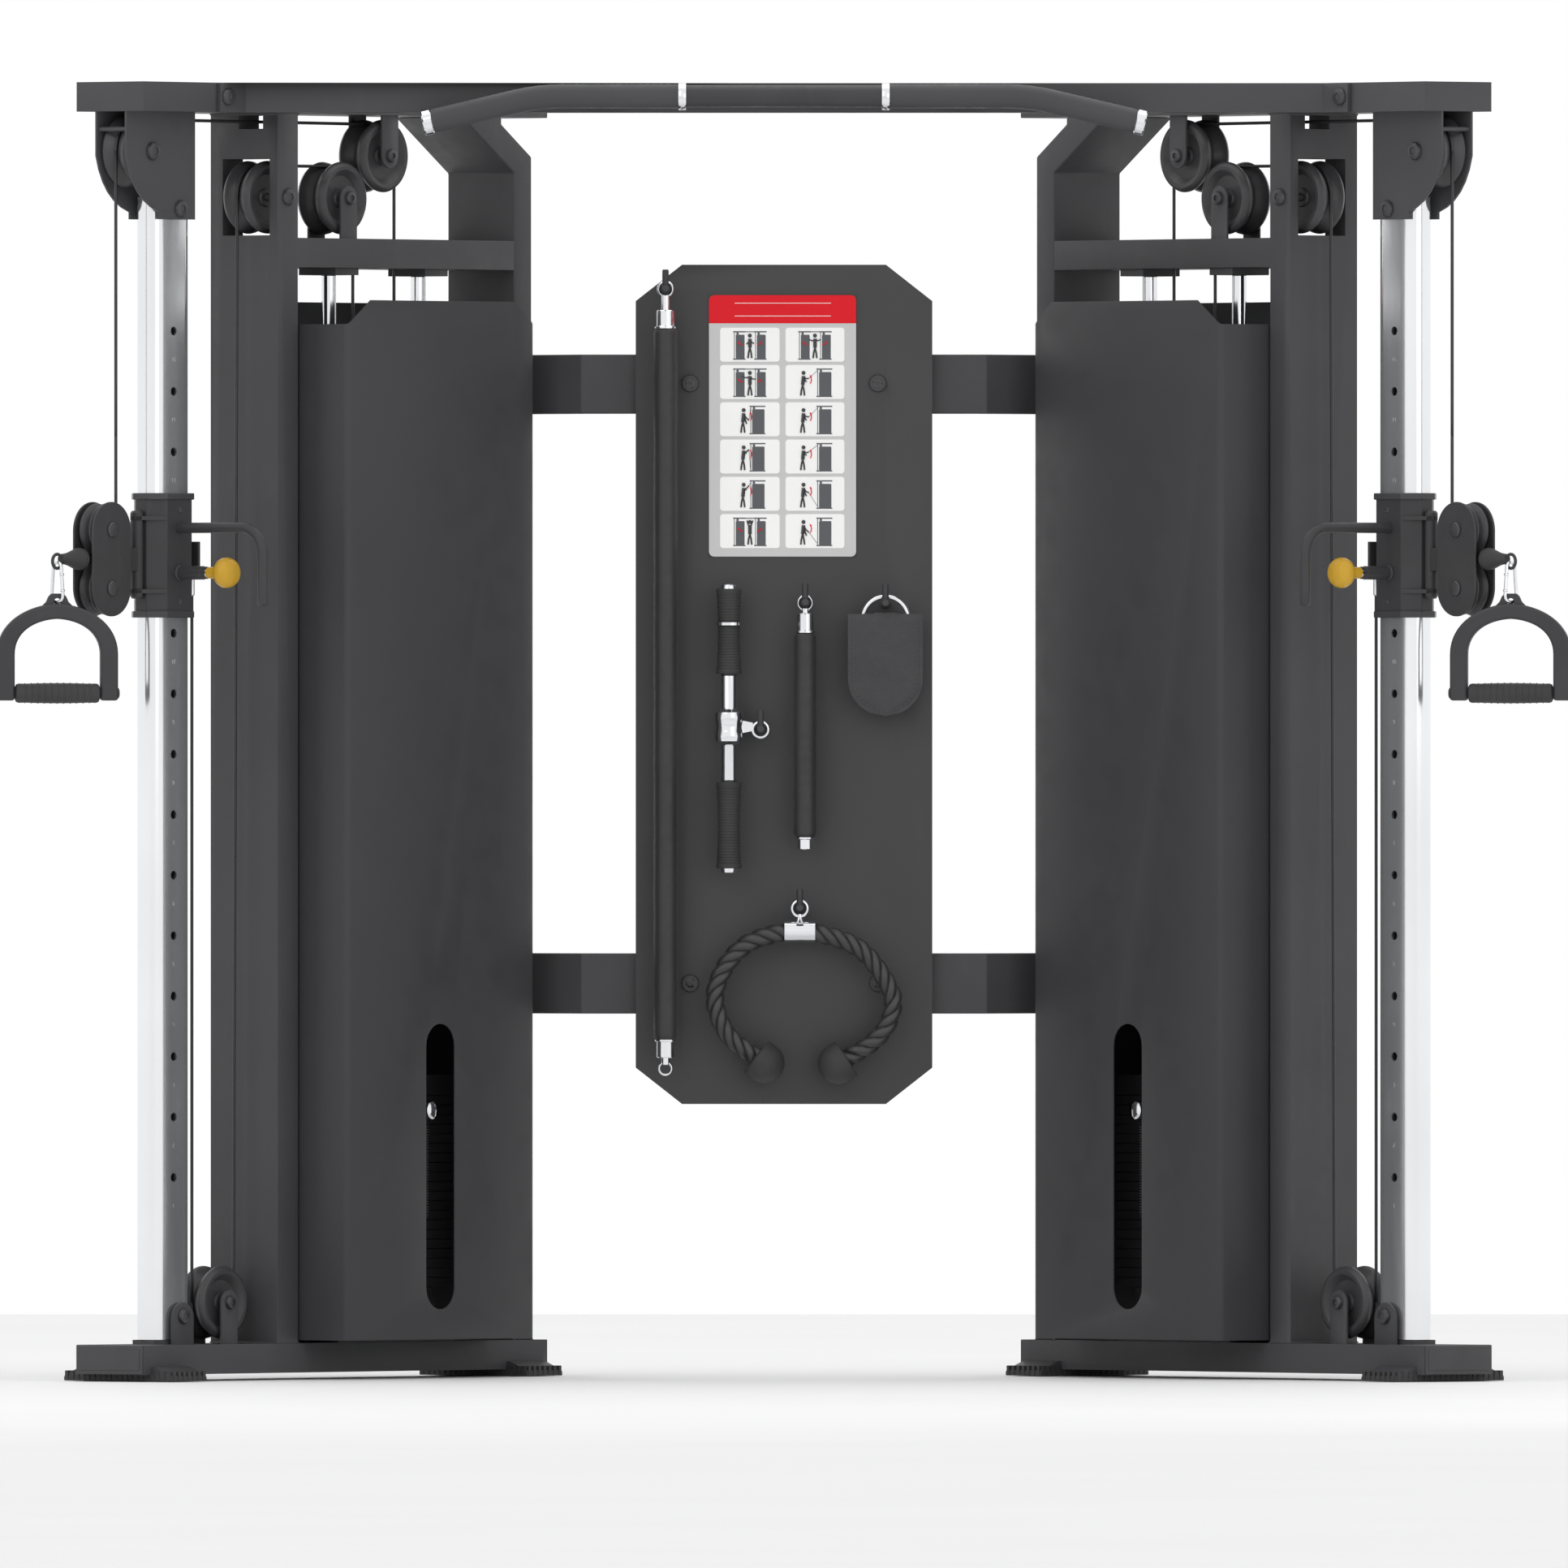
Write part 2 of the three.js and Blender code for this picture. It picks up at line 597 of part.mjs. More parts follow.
function swivelBlock() {
  const outline = strap(BLOCK_Y, BLOCK.half, BLOCK_Z - BLOCK.tall, BLOCK_Z + BLOCK.tall, true, true);
  const bridge = { z0: 1372, z1: 1411 };
  const plateEnd = BLOCK_Y + BLOCK.half;
  const body = join(
    prism('x', outline, -BLOCK.plateOuter, -BLOCK.plateInner, 5),
    prism('x', outline, BLOCK.plateInner, BLOCK.plateOuter, 5),
    box(-BLOCK.plateInner - WELD, BLOCK.plateInner + WELD, plateEnd - 9, plateEnd - 1, bridge.z0, bridge.z1),
    box(-9, 9, plateEnd - 2, HINGE_Y - 5, bridge.z0, bridge.z1),
    rod('z', ARM.boss, 0, HINGE_Y, ARM.lower + 0.6, ARM.upper - 0.6),
    ...[-1, 1].map((side) => bolt(blockPulleyCentre(side), SMALL_AXLE_R, BLOCK.plateOuter, 13, 5)),
  );
  return cut(body, rod('z', HINGE_PIN_R + 0.5, 0, HINGE_Y, ARM.lower - 5, ARM.upper + 5, SMALL_SIDES));
}

// Rounded stop that the cable pulls against the block, with the eye that the handle hangs from.
const EYE = { ring: 12, wire: 2.8, z: BLOCK_Z - 4 };

function ballStop() {
  const blockFront = BLOCK_Y - BLOCK.half - GAP;
  const profile = [
    [0, 0], [15, 0], [19, 6], [19, 14], [15, 26], [9, 46], [9, 56], [0, 56],
  ].map(([r, along]) => new THREE.Vector2(r, along));
  const stop = new THREE.LatheGeometry(profile, 10).translate(0, -blockFront, 0);
  stop.rotateX(Math.PI).translate(0, 0, BLOCK_Z);
  const eye = new THREE.TorusGeometry(EYE.ring, EYE.wire, 5, 10).rotateY(Math.PI / 2);
  eye.translate(0, EYE_Y, EYE.z);
  return join(stop, eye);
}

// The carabiner and the handle hang as one in the plane of x and z, with the carabiner's top bend in the eye.
const HANDLE = { outer: 103, inner: 73, lugTop: 1332, gripZ: 1164.5, gripR: 16.5, thick: 24 };

function dHandle() {
  const wire = 3;
  const bendR = 10;
  const topZ = EYE.z - EYE.ring + EYE.wire + wire + 4.5;
  const lowZ = HANDLE.lugTop - 14;
  const topBend = arcXZ(0, 0, topZ - bendR, bendR, 180, 0, 4);
  const lowBend = arcXZ(0, 0, lowZ + bendR, bendR, 0, -180, 4);
  const loop = [...topBend, ...lowBend];
  const carabiner = join(
    tube(loop, wire, 6),
    tube([point(-bendR, 0, lowZ + bendR - 2), point(-bendR, 0, topZ - bendR + 2)], wire, 6),
  );
  const outer = new THREE.Shape();
  const shoulder = 1230;
  outer.moveTo(-HANDLE.outer, 1152);
  outer.lineTo(-HANDLE.outer, shoulder);
  outer.bezierCurveTo(-HANDLE.outer, 1285, -50, 1314, 0, 1316);
  outer.bezierCurveTo(50, 1314, HANDLE.outer, 1285, HANDLE.outer, shoulder);
  outer.lineTo(HANDLE.outer, 1152);
  outer.lineTo(HANDLE.inner, 1152);
  outer.lineTo(HANDLE.inner, shoulder);
  outer.bezierCurveTo(HANDLE.inner, 1268, 40, 1288, 0, 1290);
  outer.bezierCurveTo(-40, 1288, -HANDLE.inner, 1268, -HANDLE.inner, shoulder);
  outer.lineTo(-HANDLE.inner, 1152);
  const bow = prism('y', outer, -HANDLE.thick / 2, HANDLE.thick / 2, 4);
  const lug = cut(
    box(-15, 15, -5, 5, 1305, HANDLE.lugTop + 2),
    rod('y', 6.5, 0, lowZ + 4, -10, 10, 12),
  );
  const grip = rod('x', HANDLE.gripR, 0, HANDLE.gripZ, -HANDLE.inner - WELD, HANDLE.inner + WELD);
  return join(carabiner, bow, lug, grip);
}

// ---------------------------------------------------------------- cable
// One cable runs from the ball stop over the column's top pulley, idler 1, the moving pulley, idler 2, the window
// pulley and the base pulley, and ends at the carriage's anchor.
function cable() {
  const run = PULLEY.cable;
  const small = SMALL_PULLEY.cable;
  const upper = blockPulleyCentre(1);
  const { top_pulley, window_pulley, idler_1, idler_2, base_pulley, stack_pulley } = AXLES;
  const wrap = (axis, radius, from, to, steps) => arcYZ(axis.x, axis.y, axis.z, radius, from, to, steps);
  const start = BLOCK_Y - BLOCK.half + 2;
  return tube([
    point(0, start, BLOCK_Z + 4),
    ...wrap(upper, small, -100, 0, 5),
    ...wrap(top_pulley, run, 180, 90, 4),
    ...wrap(idler_1, run, 90, 0, 4),
    ...wrap(stack_pulley, run, 0, -180, 8),
    ...wrap(idler_2, run, 0, 90, 4),
    ...wrap(window_pulley, run, 90, 180, 4),
    ...wrap(base_pulley, run, 0, -180, 8),
    point(0, CABLE_ANCHOR.y, CABLE_ANCHOR.z - GAP),
  ], CABLE_R);
}

// ---------------------------------------------------------------- tower assembly
const TOWER_FRAME = new THREE.Matrix4()
  .makeTranslation(-TOWER_X, 0, 0)
  .multiply(new THREE.Matrix4().makeRotationZ(-TOWER_TURN));

function tower(side) {
  const group = new THREE.Group();
  const add = (name, geometry, material) => group.add(named(`${side}_${name}`, geometry, material));
  add('base_rail', baseRail(), powderCoat);
  add('top_rail', topRail(), powderCoat);
  add('front_upright', frontUpright(), powderCoat);
  add('rear_upright', rearUpright(), powderCoat);
  add('column', column(), chrome);
  add('inner_cover', innerCover(), sheetCover);
  add('outer_cover', outerCover(), sheetCover);
  add('guide_rods', guideRods(), chrome);
  add('lower_plates', lowerPlates(), castIron);
  add('top_plates', topPlates(), castIron);
  add('selector_pin', selectorPin(), chrome);
  Object.entries(AXLES).forEach(([name, centre]) => add(name, pulley(centre, PULLEY, 12), blackNylon));
  add('carriage', carriage(), satinBlack);
  add('pop_pin', popPin(), yellowPlastic);
  add('swivel_block', swivelBlock(), satinBlack);
  add('upper_block_pulley', pulley(blockPulleyCentre(1), SMALL_PULLEY, 10), blackNylon);
  add('lower_block_pulley', pulley(blockPulleyCentre(-1), SMALL_PULLEY, 10), blackNylon);
  add('ball_stop', ballStop(), blackNylon);
  add('cable', cable(), steelCord);

  const handleFrame = new THREE.Group();
  const yaw = THREE.MathUtils.degToRad(8);
  handleFrame.position.set(0, EYE_Y, 0);
  handleFrame.rotation.z = TOWER_TURN + yaw;
  handleFrame.add(named(`${side}_d_handle`, dHandle(), blackNylon));
  group.add(handleFrame);

  group.applyMatrix4(TOWER_FRAME);
  return group;
}

// ---------------------------------------------------------------- centre frame
const mirrored = (points) => points.map(([x, y]) => [-x, y]).reverse();

// A place in the ground plane, from the left tower's frame.
function fromTower(x, y) {
  const place = point(x, y, 0).applyMatrix4(TOWER_FRAME);
  return [place.x, place.y];
}

function mirrorGeometry(geometry) {
  const flipped = geometry.clone().scale(-1, 1, 1);
  const index = flipped.index ?? new THREE.BufferAttribute(
    Uint32Array.from({ length: flipped.attributes.position.count }, (_, i) => i), 1,
  );
  flipped.setIndex(new THREE.BufferAttribute(Uint32Array.from(index.array).reverse(), 1));
  return flipped;
}

// A crossbeam mitred onto the rails, with a bolted flange plate at each end.
const BEAM_FRONT = 143;
const BEAM_BACK = 193;

function crossbeam() {
  const side = RAIL_HALF + GAP;
  const mitre = side + 2; // the beam ends inside its flange plates
  const endAt = (y) => fromTower(mitre, (y + mitre * Math.sin(TOWER_TURN)) / Math.cos(TOWER_TURN));
  const [front, back] = [endAt(BEAM_FRONT), endAt(BEAM_BACK)];
  const outline = [front, ...mirrored([front]), ...mirrored([back]), back];
  const flange = box(side, side + 8, 190, 350, RAIL_TOP_Z, HEIGHT);
  const head = rod('x', 14, 209, 2176, side + 7, side + 14, SMALL_SIDES);
  const end = join(flange, head).applyMatrix4(TOWER_FRAME);
  return join(prism('z', outline, RAIL_TOP_Z, HEIGHT), end, mirrorGeometry(end));
}

function pullUpBar() {
  const radius = 20.5;
  const y = 85;
  const z = 2176.5;
  const straight = 415;
  const end = { x: 613, z: 2131 };
  const path = [
    point(-end.x, y, end.z), point(-straight - 15, y, z - 3.5), point(-straight + 15, y, z),
    point(straight - 15, y, z), point(straight + 15, y, z - 3.5), point(end.x, y, end.z),
  ];
  const stubs = [-1, 1].map((side) => {
    const x = side * 300;
    return rod('y', 12, x, z, y, BEAM_FRONT - GAP, 12);
  });
  const pads = [-1, 1].map((side) => {
    const x = side * 300;
    return box(x - 28, x + 28, BEAM_FRONT - 8, BEAM_FRONT - GAP, z - 22, z + 22);
  });
  return join(tube(path, radius, 12), ...stubs, ...pads);
}

// Rear link beams: each end starts square on a rear upright and turns parallel to the X axis.
const LINK = { y: 620, half: 25, upper: [1643, 1744], lower: [619, 722] };

function linkBeam([z0, z1]) {
  const postMiddle = (REAR_POST.y0 + REAR_POST.y1) / 2;
  const start = [RAIL_HALF + GAP, postMiddle];
  const reach = (fromTower(...start)[1] - LINK.y) / Math.sin(TOWER_TURN);
  const bend = fromTower(start[0] + reach, postMiddle);
  const skew = LINK.half * Math.tan(TOWER_TURN / 2);
  const backSide = [fromTower(start[0], start[1] + LINK.half), [bend[0] + skew, bend[1] + LINK.half]];
  const frontSide = [fromTower(start[0], start[1] - LINK.half), [bend[0] - skew, bend[1] - LINK.half]];
  const backHalf = [...backSide].reverse();
  const outline = [...frontSide, ...mirrored(frontSide), ...mirrored(backHalf), ...backHalf];
  return prism('z', outline, z0, z1);
}

// ---------------------------------------------------------------- accessory board
const BOARD = { half: 253, z0: 465, z1: 1897, thick: 20, cutX: 79, cutZ: 62 };
const BOARD_BACK = LINK.y - LINK.half - GAP;
const BOARD_FRONT = BOARD_BACK - BOARD.thick;
const HANG_Y = BOARD_FRONT - 42; // accessories hang this far in front of the wall
const PEG_R = 6;
const PEG_END = HANG_Y - 30;
const PEG_TIP = 32; // height of a peg's upturned end

// Where the pegs stand: (x, z) of each, named after what hangs there.
const PEGS = {
  long_bar: { x: -202, z: 1856 },
  rotating_bar: { x: -40, z: 1105 },
  short_bar: { x: 36, z: 1321 },
  ankle_strap: { x: 173, z: 1320 },
  tricep_rope: { x: 27, z: 800 },
};

function board() {
  const { half, z0, z1, cutX, cutZ } = BOARD;
  const outline = [
    [-half + cutX, z0], [half - cutX, z0], [half, z0 + cutZ], [half, z1 - cutZ],
    [half - cutX, z1], [-half + cutX, z1], [-half, z1 - cutZ], [-half, z0 + cutZ],
  ];
  const label = box(-128, 123, BOARD_FRONT - 2, BOARD_FRONT + WELD, 1399, 1845);
  const bolts = [-160, 160].flatMap((x) => [671, 1694.5].map((z) => (
    rod('y', 14, x, z, BOARD_FRONT - 6, BOARD_FRONT + WELD, 12)
  )));
  const pegs = Object.values(PEGS).flatMap(({ x, z }) => [
    rod('y', PEG_R, x, z, PEG_END, BOARD_FRONT + WELD, SMALL_SIDES),
    rod('z', PEG_R - 1, x, PEG_END + PEG_R, z, z + PEG_TIP, SMALL_SIDES),
  ]);
  return join(prism('y', outline, BOARD_FRONT, BOARD_BACK), label, ...bolts, ...pegs);
}

// Hanging pieces. Each has an eye round its peg.
function hangingEye(peg, outer, width) {
  const radial = outer - PEG_R - 2;
  const middle = outer - radial / 2;
  const torus = new THREE.TorusGeometry(middle, radial / 2, 5, 12);
  torus.rotateX(Math.PI / 2).scale(1, width / radial, 1);
  return torus.translate(peg.x, HANG_Y, peg.z - outer + radial + PEG_R + 0.8);
}

// A straight bar hanging from its peg: an eye, then stretches of (radius, top z, bottom z).
function hangingBar(peg, stretches, tailEye) {
  const eyeOuter = 15;
  const parts = stretches.map(([radius, top, bottom]) => rod('z', radius, peg.x, HANG_Y, bottom, top + WELD));
  const extra = tailEye ? [hangingEye({ x: peg.x, z: tailEye }, 13, 10)] : [];
  return join(hangingEye(peg, eyeOuter, 10), ...parts, ...extra);
}

const longBar = () => hangingBar(PEGS.long_bar, [[16, 1843, 1787], [20.5, 1787, 576], [16, 576, 535]], 526);
const shortBar = () => hangingBar(PEGS.short_bar, [[15, 1308, 1268], [20, 1268, 921], [14, 921, 899]], null);

function rotatingBar() {
  const x = -94;
  const peg = PEGS.rotating_bar;
  const hubZ = (1137 + 1080) / 2;
  const arm = box(x + 20, peg.x - 12, HANG_Y - 5, HANG_Y + 5, hubZ - 10, hubZ + 10);
  return join(
    rod('z', 14.5, x, HANG_Y, 860, 1350),
    rod('z', 21.5, x, HANG_Y, 867, 1014),
    rod('z', 21.5, x, HANG_Y, 1199, 1344),
    rod('z', 26, x, HANG_Y, 1080, 1137),
    arm,
    hangingEye(peg, 17, 10),
  );
}

// A padded strap folded flat, round at the bottom, that hangs from its half ring.
function ankleStrap() {
  const peg = PEGS.ankle_strap;
  const half = 64;
  const top = 1301;
  const low = 1127;
  const halfThick = 13;
  const ring = { radius: 39, wire: 4, lift: 0.8 };
  const outline = strap(peg.x, half, low, top, true, false);
  const ringZ = peg.z + PEG_R + ring.lift + ring.wire - ring.radius;
  const bow = tube(arcXZ(HANG_Y, peg.x, ringZ, ring.radius, 180, 0, 12), ring.wire, 6);
  const reach = ring.radius + 2;
  const bar = rod('x', ring.wire, HANG_Y, ringZ, peg.x - reach, peg.x + reach, SMALL_SIDES);
  return join(prism('y', outline, HANG_Y - halfThick, HANG_Y + halfThick, 6), bow, bar);
}

// A rope folded at its metal tee, with a rubber ball on each end.
function tricepRope() {
  const peg = PEGS.tricep_rope;
  const ropeR = 17;
  const strand = (side, widestX, endX, endZ) => {
    const curve = new THREE.CatmullRomCurve3([
      point(peg.x + side * 14, HANG_Y, 759),
      point(peg.x + side * 60, HANG_Y, 735),
      point(widestX, HANG_Y, 653),
      point((widestX + endX) / 2 + side * 18, HANG_Y, 585), point(endX, HANG_Y, endZ + 14),
    ]);
    const points = curve.getPoints(10);
    const ballR = 37;
    const ball = new THREE.SphereGeometry(ballR, 10, 6).translate(endX, HANG_Y, endZ);
    return [tube(points, ropeR, 8), ball];
  };
  const tee = box(peg.x - 27, peg.x + 27, HANG_Y - 19, HANG_Y + 19, 743, 776);
  const stem = box(peg.x - 6, peg.x + 6, HANG_Y - 6, HANG_Y + 6, 775, 785);
  return join(
    tee, stem, hangingEye(peg, 17, 10),
    ...strand(-1, -112, -29, 541),
    ...strand(1, 180, 90, 536),
  );
}

// ---------------------------------------------------------------- whole machine
const machine = new THREE.Group();
machine.add(tower('left'));

const rightHalf = new THREE.Group();
rightHalf.add(tower('right'));
rightHalf.scale.x = -1;
machine.add(rightHalf);

machine.add(named('crossbeam', crossbeam(), powderCoat));
machine.add(named('pull_up_bar', pullUpBar(), powderCoat));
machine.add(named('upper_link_beam', linkBeam(LINK.upper), powderCoat));
machine.add(named('lower_link_beam', linkBeam(LINK.lower), powderCoat));
machine.add(named('accessory_board', board(), powderCoat));
machine.add(named('long_bar', longBar(), rubber));
machine.add(named('rotating_bar', rotatingBar(), chrome));
machine.add(named('short_bar', shortBar(), rubber));
machine.add(named('ankle_strap', ankleStrap(), webbing));
machine.add(named('tricep_rope', tricepRope(), ropeFibre));

machine.position.y = DEPTH_SHIFT;

export default machine;
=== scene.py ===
# Cable crossover machine: the looks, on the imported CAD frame.
# Tower pieces are made in millimetres in the tower's own frame (x across the rails towards the machine's middle,
# y along the rails from front to back, z up) and then placed in metres. Centre pieces are made in millimetres too.
import math

import bmesh
import bpy
from mathutils import Matrix, Vector


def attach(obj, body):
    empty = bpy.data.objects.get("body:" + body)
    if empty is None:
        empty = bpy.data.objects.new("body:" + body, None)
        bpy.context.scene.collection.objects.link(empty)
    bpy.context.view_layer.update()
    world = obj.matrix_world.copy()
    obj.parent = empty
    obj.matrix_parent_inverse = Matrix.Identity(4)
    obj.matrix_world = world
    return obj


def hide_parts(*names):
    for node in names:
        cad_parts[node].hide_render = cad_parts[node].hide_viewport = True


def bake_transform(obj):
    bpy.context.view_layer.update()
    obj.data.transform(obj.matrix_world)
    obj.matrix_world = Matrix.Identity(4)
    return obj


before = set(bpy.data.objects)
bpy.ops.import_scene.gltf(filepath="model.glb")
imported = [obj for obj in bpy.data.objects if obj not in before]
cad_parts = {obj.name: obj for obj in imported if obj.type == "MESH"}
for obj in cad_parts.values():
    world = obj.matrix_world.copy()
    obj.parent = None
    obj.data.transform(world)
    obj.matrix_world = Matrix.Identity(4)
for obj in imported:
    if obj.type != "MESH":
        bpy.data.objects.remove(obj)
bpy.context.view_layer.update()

# ------ driving dimensions
MM = 0.001
TOWER_X = 1141
TOWER_TURN = math.radians(40)
DEPTH_SHIFT = -371.97
SIDES = ("left", "right")

COLUMN = {"y": 136, "long": 104, "wide": 50, "wall": 4, "bottom": 69.3, "top": 2006}
HOLES = {"count": 15, "radius": 7.5, "top": 1779, "pitch": 102.5}
PULLEY = {"rim": 62, "groove": 50, "half": 30, "bore": 7, "cable": 54}
SMALL_PULLEY = {"rim": 45, "groove": 32, "half": 15, "bore": 6, "cable": 36}
AXLES = {
    "top_pulley": (0, 69, 2083),
    "window_pulley": (8, 374.5, 2008),
    "idler_1": (29, 652, 2081),
    "idler_2": (29, 544, 2008),
    "base_pulley": (0, 266, 131),
    "stack_pulley": (29, 652, 595),
}
BLOCK = {"y": -21, "z": 1391.5, "spacing": 99, "half": 49, "tall": 97, "inner": 19, "outer": 23}
HINGE_Y = 69
SLEEVE = {"y0": 80, "y1": 194, "half": 37, "chamfer": 25, "z0": 1293, "z1": 1504, "collar": 11}
POP_PIN_Z = 1368.7
CABLE_R = 2.75
ANCHOR = {"y": 212, "z": 1385}
STACK = {"x": 29, "y": 652, "half_x": 60, "half_y": 170, "bottom": 154.5, "pitch": 16.3, "head_top": 515}
LOWER_PLATES = 18
ROD_SPREAD = 117
EYE_Y = -136.5
BOARD_FRONT = 574.7
HANG_Y = BOARD_FRONT - 42


# ------ placing
def tower_matrix(side):
    turn = Matrix.Rotation(-TOWER_TURN, 4, "Z")
    left = Matrix.Translation((-TOWER_X, DEPTH_SHIFT, 0)) @ turn
    mirror = Matrix.Diagonal((1 if side == "left" else -1, 1, 1, 1))
    return Matrix.Scale(MM, 4) @ mirror @ left


CENTRE_MATRIX = Matrix.Scale(MM, 4) @ Matrix.Translation((0, DEPTH_SHIFT, 0))


def add_object(name, data):
    obj = bpy.data.objects.new(name, data)
    bpy.context.scene.collection.objects.link(obj)
    return obj


def to_mesh(bm, name):
    mesh = bpy.data.meshes.new(name)
    bm.to_mesh(mesh)
    bm.free()
    return mesh


def place_mesh(bm, name, matrix, material):
    """Turns a bmesh in millimetres into a placed piece with a material, on no body yet."""
    bm.transform(matrix)
    if matrix.determinant() < 0:
        bmesh.ops.reverse_faces(bm, faces=bm.faces)
    mesh = to_mesh(bm, f"{name}_piece")
    mesh.polygons.foreach_set("use_smooth", [True] * len(mesh.polygons))
    mesh.materials.append(MATERIALS[material])
    obj = add_object(f"{name}_piece", mesh)
    return obj


def finish_mesh(bm, name, matrix, material, body, replaces=(), slot=None, bevel=0.0, smooth=35):
    """A placed piece that rides on a body, with sharp edges above the smooth angle."""
    bmesh.ops.recalc_face_normals(bm, faces=bm.faces)
    obj = place_mesh(bm, name, matrix, material)
    obj.data.set_sharp_from_angle(angle=math.radians(smooth))
    if bevel:
        add_bevel(obj, bevel)
    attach(obj, body)
    if replaces:
        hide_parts(*replaces)
    return obj


def add_bevel(obj, width, segments=2, angle=40, harden=False):
    modifier = obj.modifiers.new("edges", "BEVEL")
    modifier.width = width * MM
    modifier.segments = segments
    modifier.limit_method = "ANGLE"
    modifier.angle_limit = math.radians(angle)
    modifier.harden_normals = harden


# ------ mesh building, in millimetres
def add_faces(bm, points, faces):
    verts = [bm.verts.new(p) for p in points]
    for face in faces:
        bm.faces.new([verts[i] for i in face])


def add_box(bm, x0, x1, y0, y1, z0, z1):
    points = [(x, y, z) for z in (z0, z1) for y in (y0, y1) for x in (x0, x1)]
    faces = [(0, 2, 3, 1), (4, 5, 7, 6), (0, 1, 5, 4), (2, 6, 7, 3), (0, 4, 6, 2), (1, 3, 7, 5)]
    add_faces(bm, points, faces)


AXIS_MAPS = {
    "x": lambda a, b, d: (d, a, b),
    "y": lambda a, b, d: (a, d, b),
    "z": lambda a, b, d: (a, b, d),
}


def add_prism(bm, axis, outline, start, end):
    """A closed outline of (a, b) pairs carried along an axis: (y, z) for x, (x, z) for y and (x, y) for z."""
    to_3d = AXIS_MAPS[axis]
    n = len(outline)
    points = [to_3d(a, b, d) for d in (start, end) for a, b in outline]
    sides = [(i, (i + 1) % n, n + (i + 1) % n, n + i) for i in range(n)]
    add_faces(bm, points, [tuple(range(n))[::-1], tuple(range(n, 2 * n)), *sides])


def add_turned(bm, axis, centre, profile, segments=48):
    """A body of revolution: (radius, distance along the axis) pairs. A profile off the axis closes on itself."""
    to_3d = AXIS_MAPS[axis]
    angles = [2 * math.pi * i / segments for i in range(segments)]
    rings = []
    for radius, along in profile:
        spokes = angles if radius else [0]
        places = (to_3d(radius * math.cos(angle), radius * math.sin(angle), along) for angle in spokes)
        rings.append([bm.verts.new(Vector(place) + Vector(centre)) for place in places])
    pairs = list(zip(rings, rings[1:]))
    if len(rings[0]) > 1 and len(rings[-1]) > 1:
        pairs.append((rings[-1], rings[0]))
    for a, b in pairs:
        for i in range(segments if len(a) + len(b) > 2 else 0):
            j = (i + 1) % segments
            corners = [a[i % len(a)], b[i % len(b)], b[j % len(b)], a[j % len(a)]]
            bm.faces.new(list(dict.fromkeys(corners)))


def add_rod(bm, axis, centre, radius, start, end, edge=1.0, segments=32):
    """A round bar with softened ends, centred on a 3-D point and running from start to end along the axis."""
    edge = min(edge, radius * 0.5, (end - start) * 0.4)
    profile = [(0, start), (radius - edge, start), (radius, start + edge), (radius, end - edge),
               (radius - edge, end), (0, end)]
    flat = list(centre)
    flat["xyz".index(axis)] = 0
    add_turned(bm, axis, flat, profile, segments)


def sweep(bm, points, radius, sides=16, closed=False):
    """A tube through the points, carrying one frame along without twist. radius is a number or one for each point."""
    points = [Vector(p) for p in points]
    n = len(points)
    normal = None
    rings = []
    for i, p in enumerate(points):
        before = points[i - 1] if (i or closed) else points[0]
        after = points[(i + 1) % n] if (i < n - 1 or closed) else points[-1]
        tangent = (after - before).normalized()
        if normal is None:
            normal = tangent.orthogonal().normalized()
        normal = (normal - tangent * normal.dot(tangent)).normalized()
        side = tangent.cross(normal)
        r = radius[i] if isinstance(radius, list) else radius
        rings.append([
            bm.verts.new(p + (normal * math.cos(t) + side * math.sin(t)) * r)
            for t in (2 * math.pi * k / sides for k in range(sides))
        ])
    spans = list(zip(rings, rings[1:])) + ([(rings[-1], rings[0])] if closed else [])
    for a, b in spans:
        for k in range(sides):
            m = (k + 1) % sides
            bm.faces.new((a[k], a[m], b[m], b[k]))
    if not closed:
        bm.faces.new(rings[0][::-1])
        bm.faces.new(rings[-1])


def arc(centre, radius, start, end, steps):
    """(a, b) pairs on an arc, angles in degrees."""
    angles = [math.radians(start + (end - start) * i / steps) for i in range(steps + 1)]
    return [(centre[0] + radius * math.cos(a), centre[1] + radius * math.sin(a)) for a in angles]


def strap_outline(a, half, low, high, round_low, steps=16):
    """A long plate's outline with a round top and a round or square foot."""
    bottom = arc((a, low + half), half, 180, 360, steps) if round_low else [(a - half, low), (a + half, low)]
    return bottom + arc((a, high - half), half, 0, 180, steps)


def column_outline(grow):
    """The column's flat oval in the ground plane, long along y, grown all round by so many millimetres."""
    half = COLUMN["wide"] / 2 + grow
    straight_half = (COLUMN["long"] - COLUMN["wide"]) / 2
    back, front = COLUMN["y"] + straight_half, COLUMN["y"] - straight_half
    return arc((0, back), half, 0, 180, 20) + arc((0, front), half, 180, 360, 20)


def straight(start, end, step=60):
    """Points along a straight stretch, without its last one."""
    a, b = Vector(start), Vector(end)
    count = max(1, round((b - a).length / step))
    return [a.lerp(b, i / count) for i in range(count)]


# ------ materials
def srgb(r, g, b):
    """A 0 to 255 colour in linear values."""
    def linear(c):
        c /= 255
        return c / 12.92 if c <= 0.04045 else ((c + 0.055) / 1.055) ** 2.4
    return (linear(r), linear(g), linear(b))


def add_node(tree, kind, values=None, links=None):
    """A shader node with its input values set and its other inputs linked."""
    node = tree.nodes.new("ShaderNode" + kind)
    for name, value in (values or {}).items():
        node.inputs[name].default_value = value
    for name, source in (links or {}).items():
        tree.links.new(source, node.inputs[name])
    return node


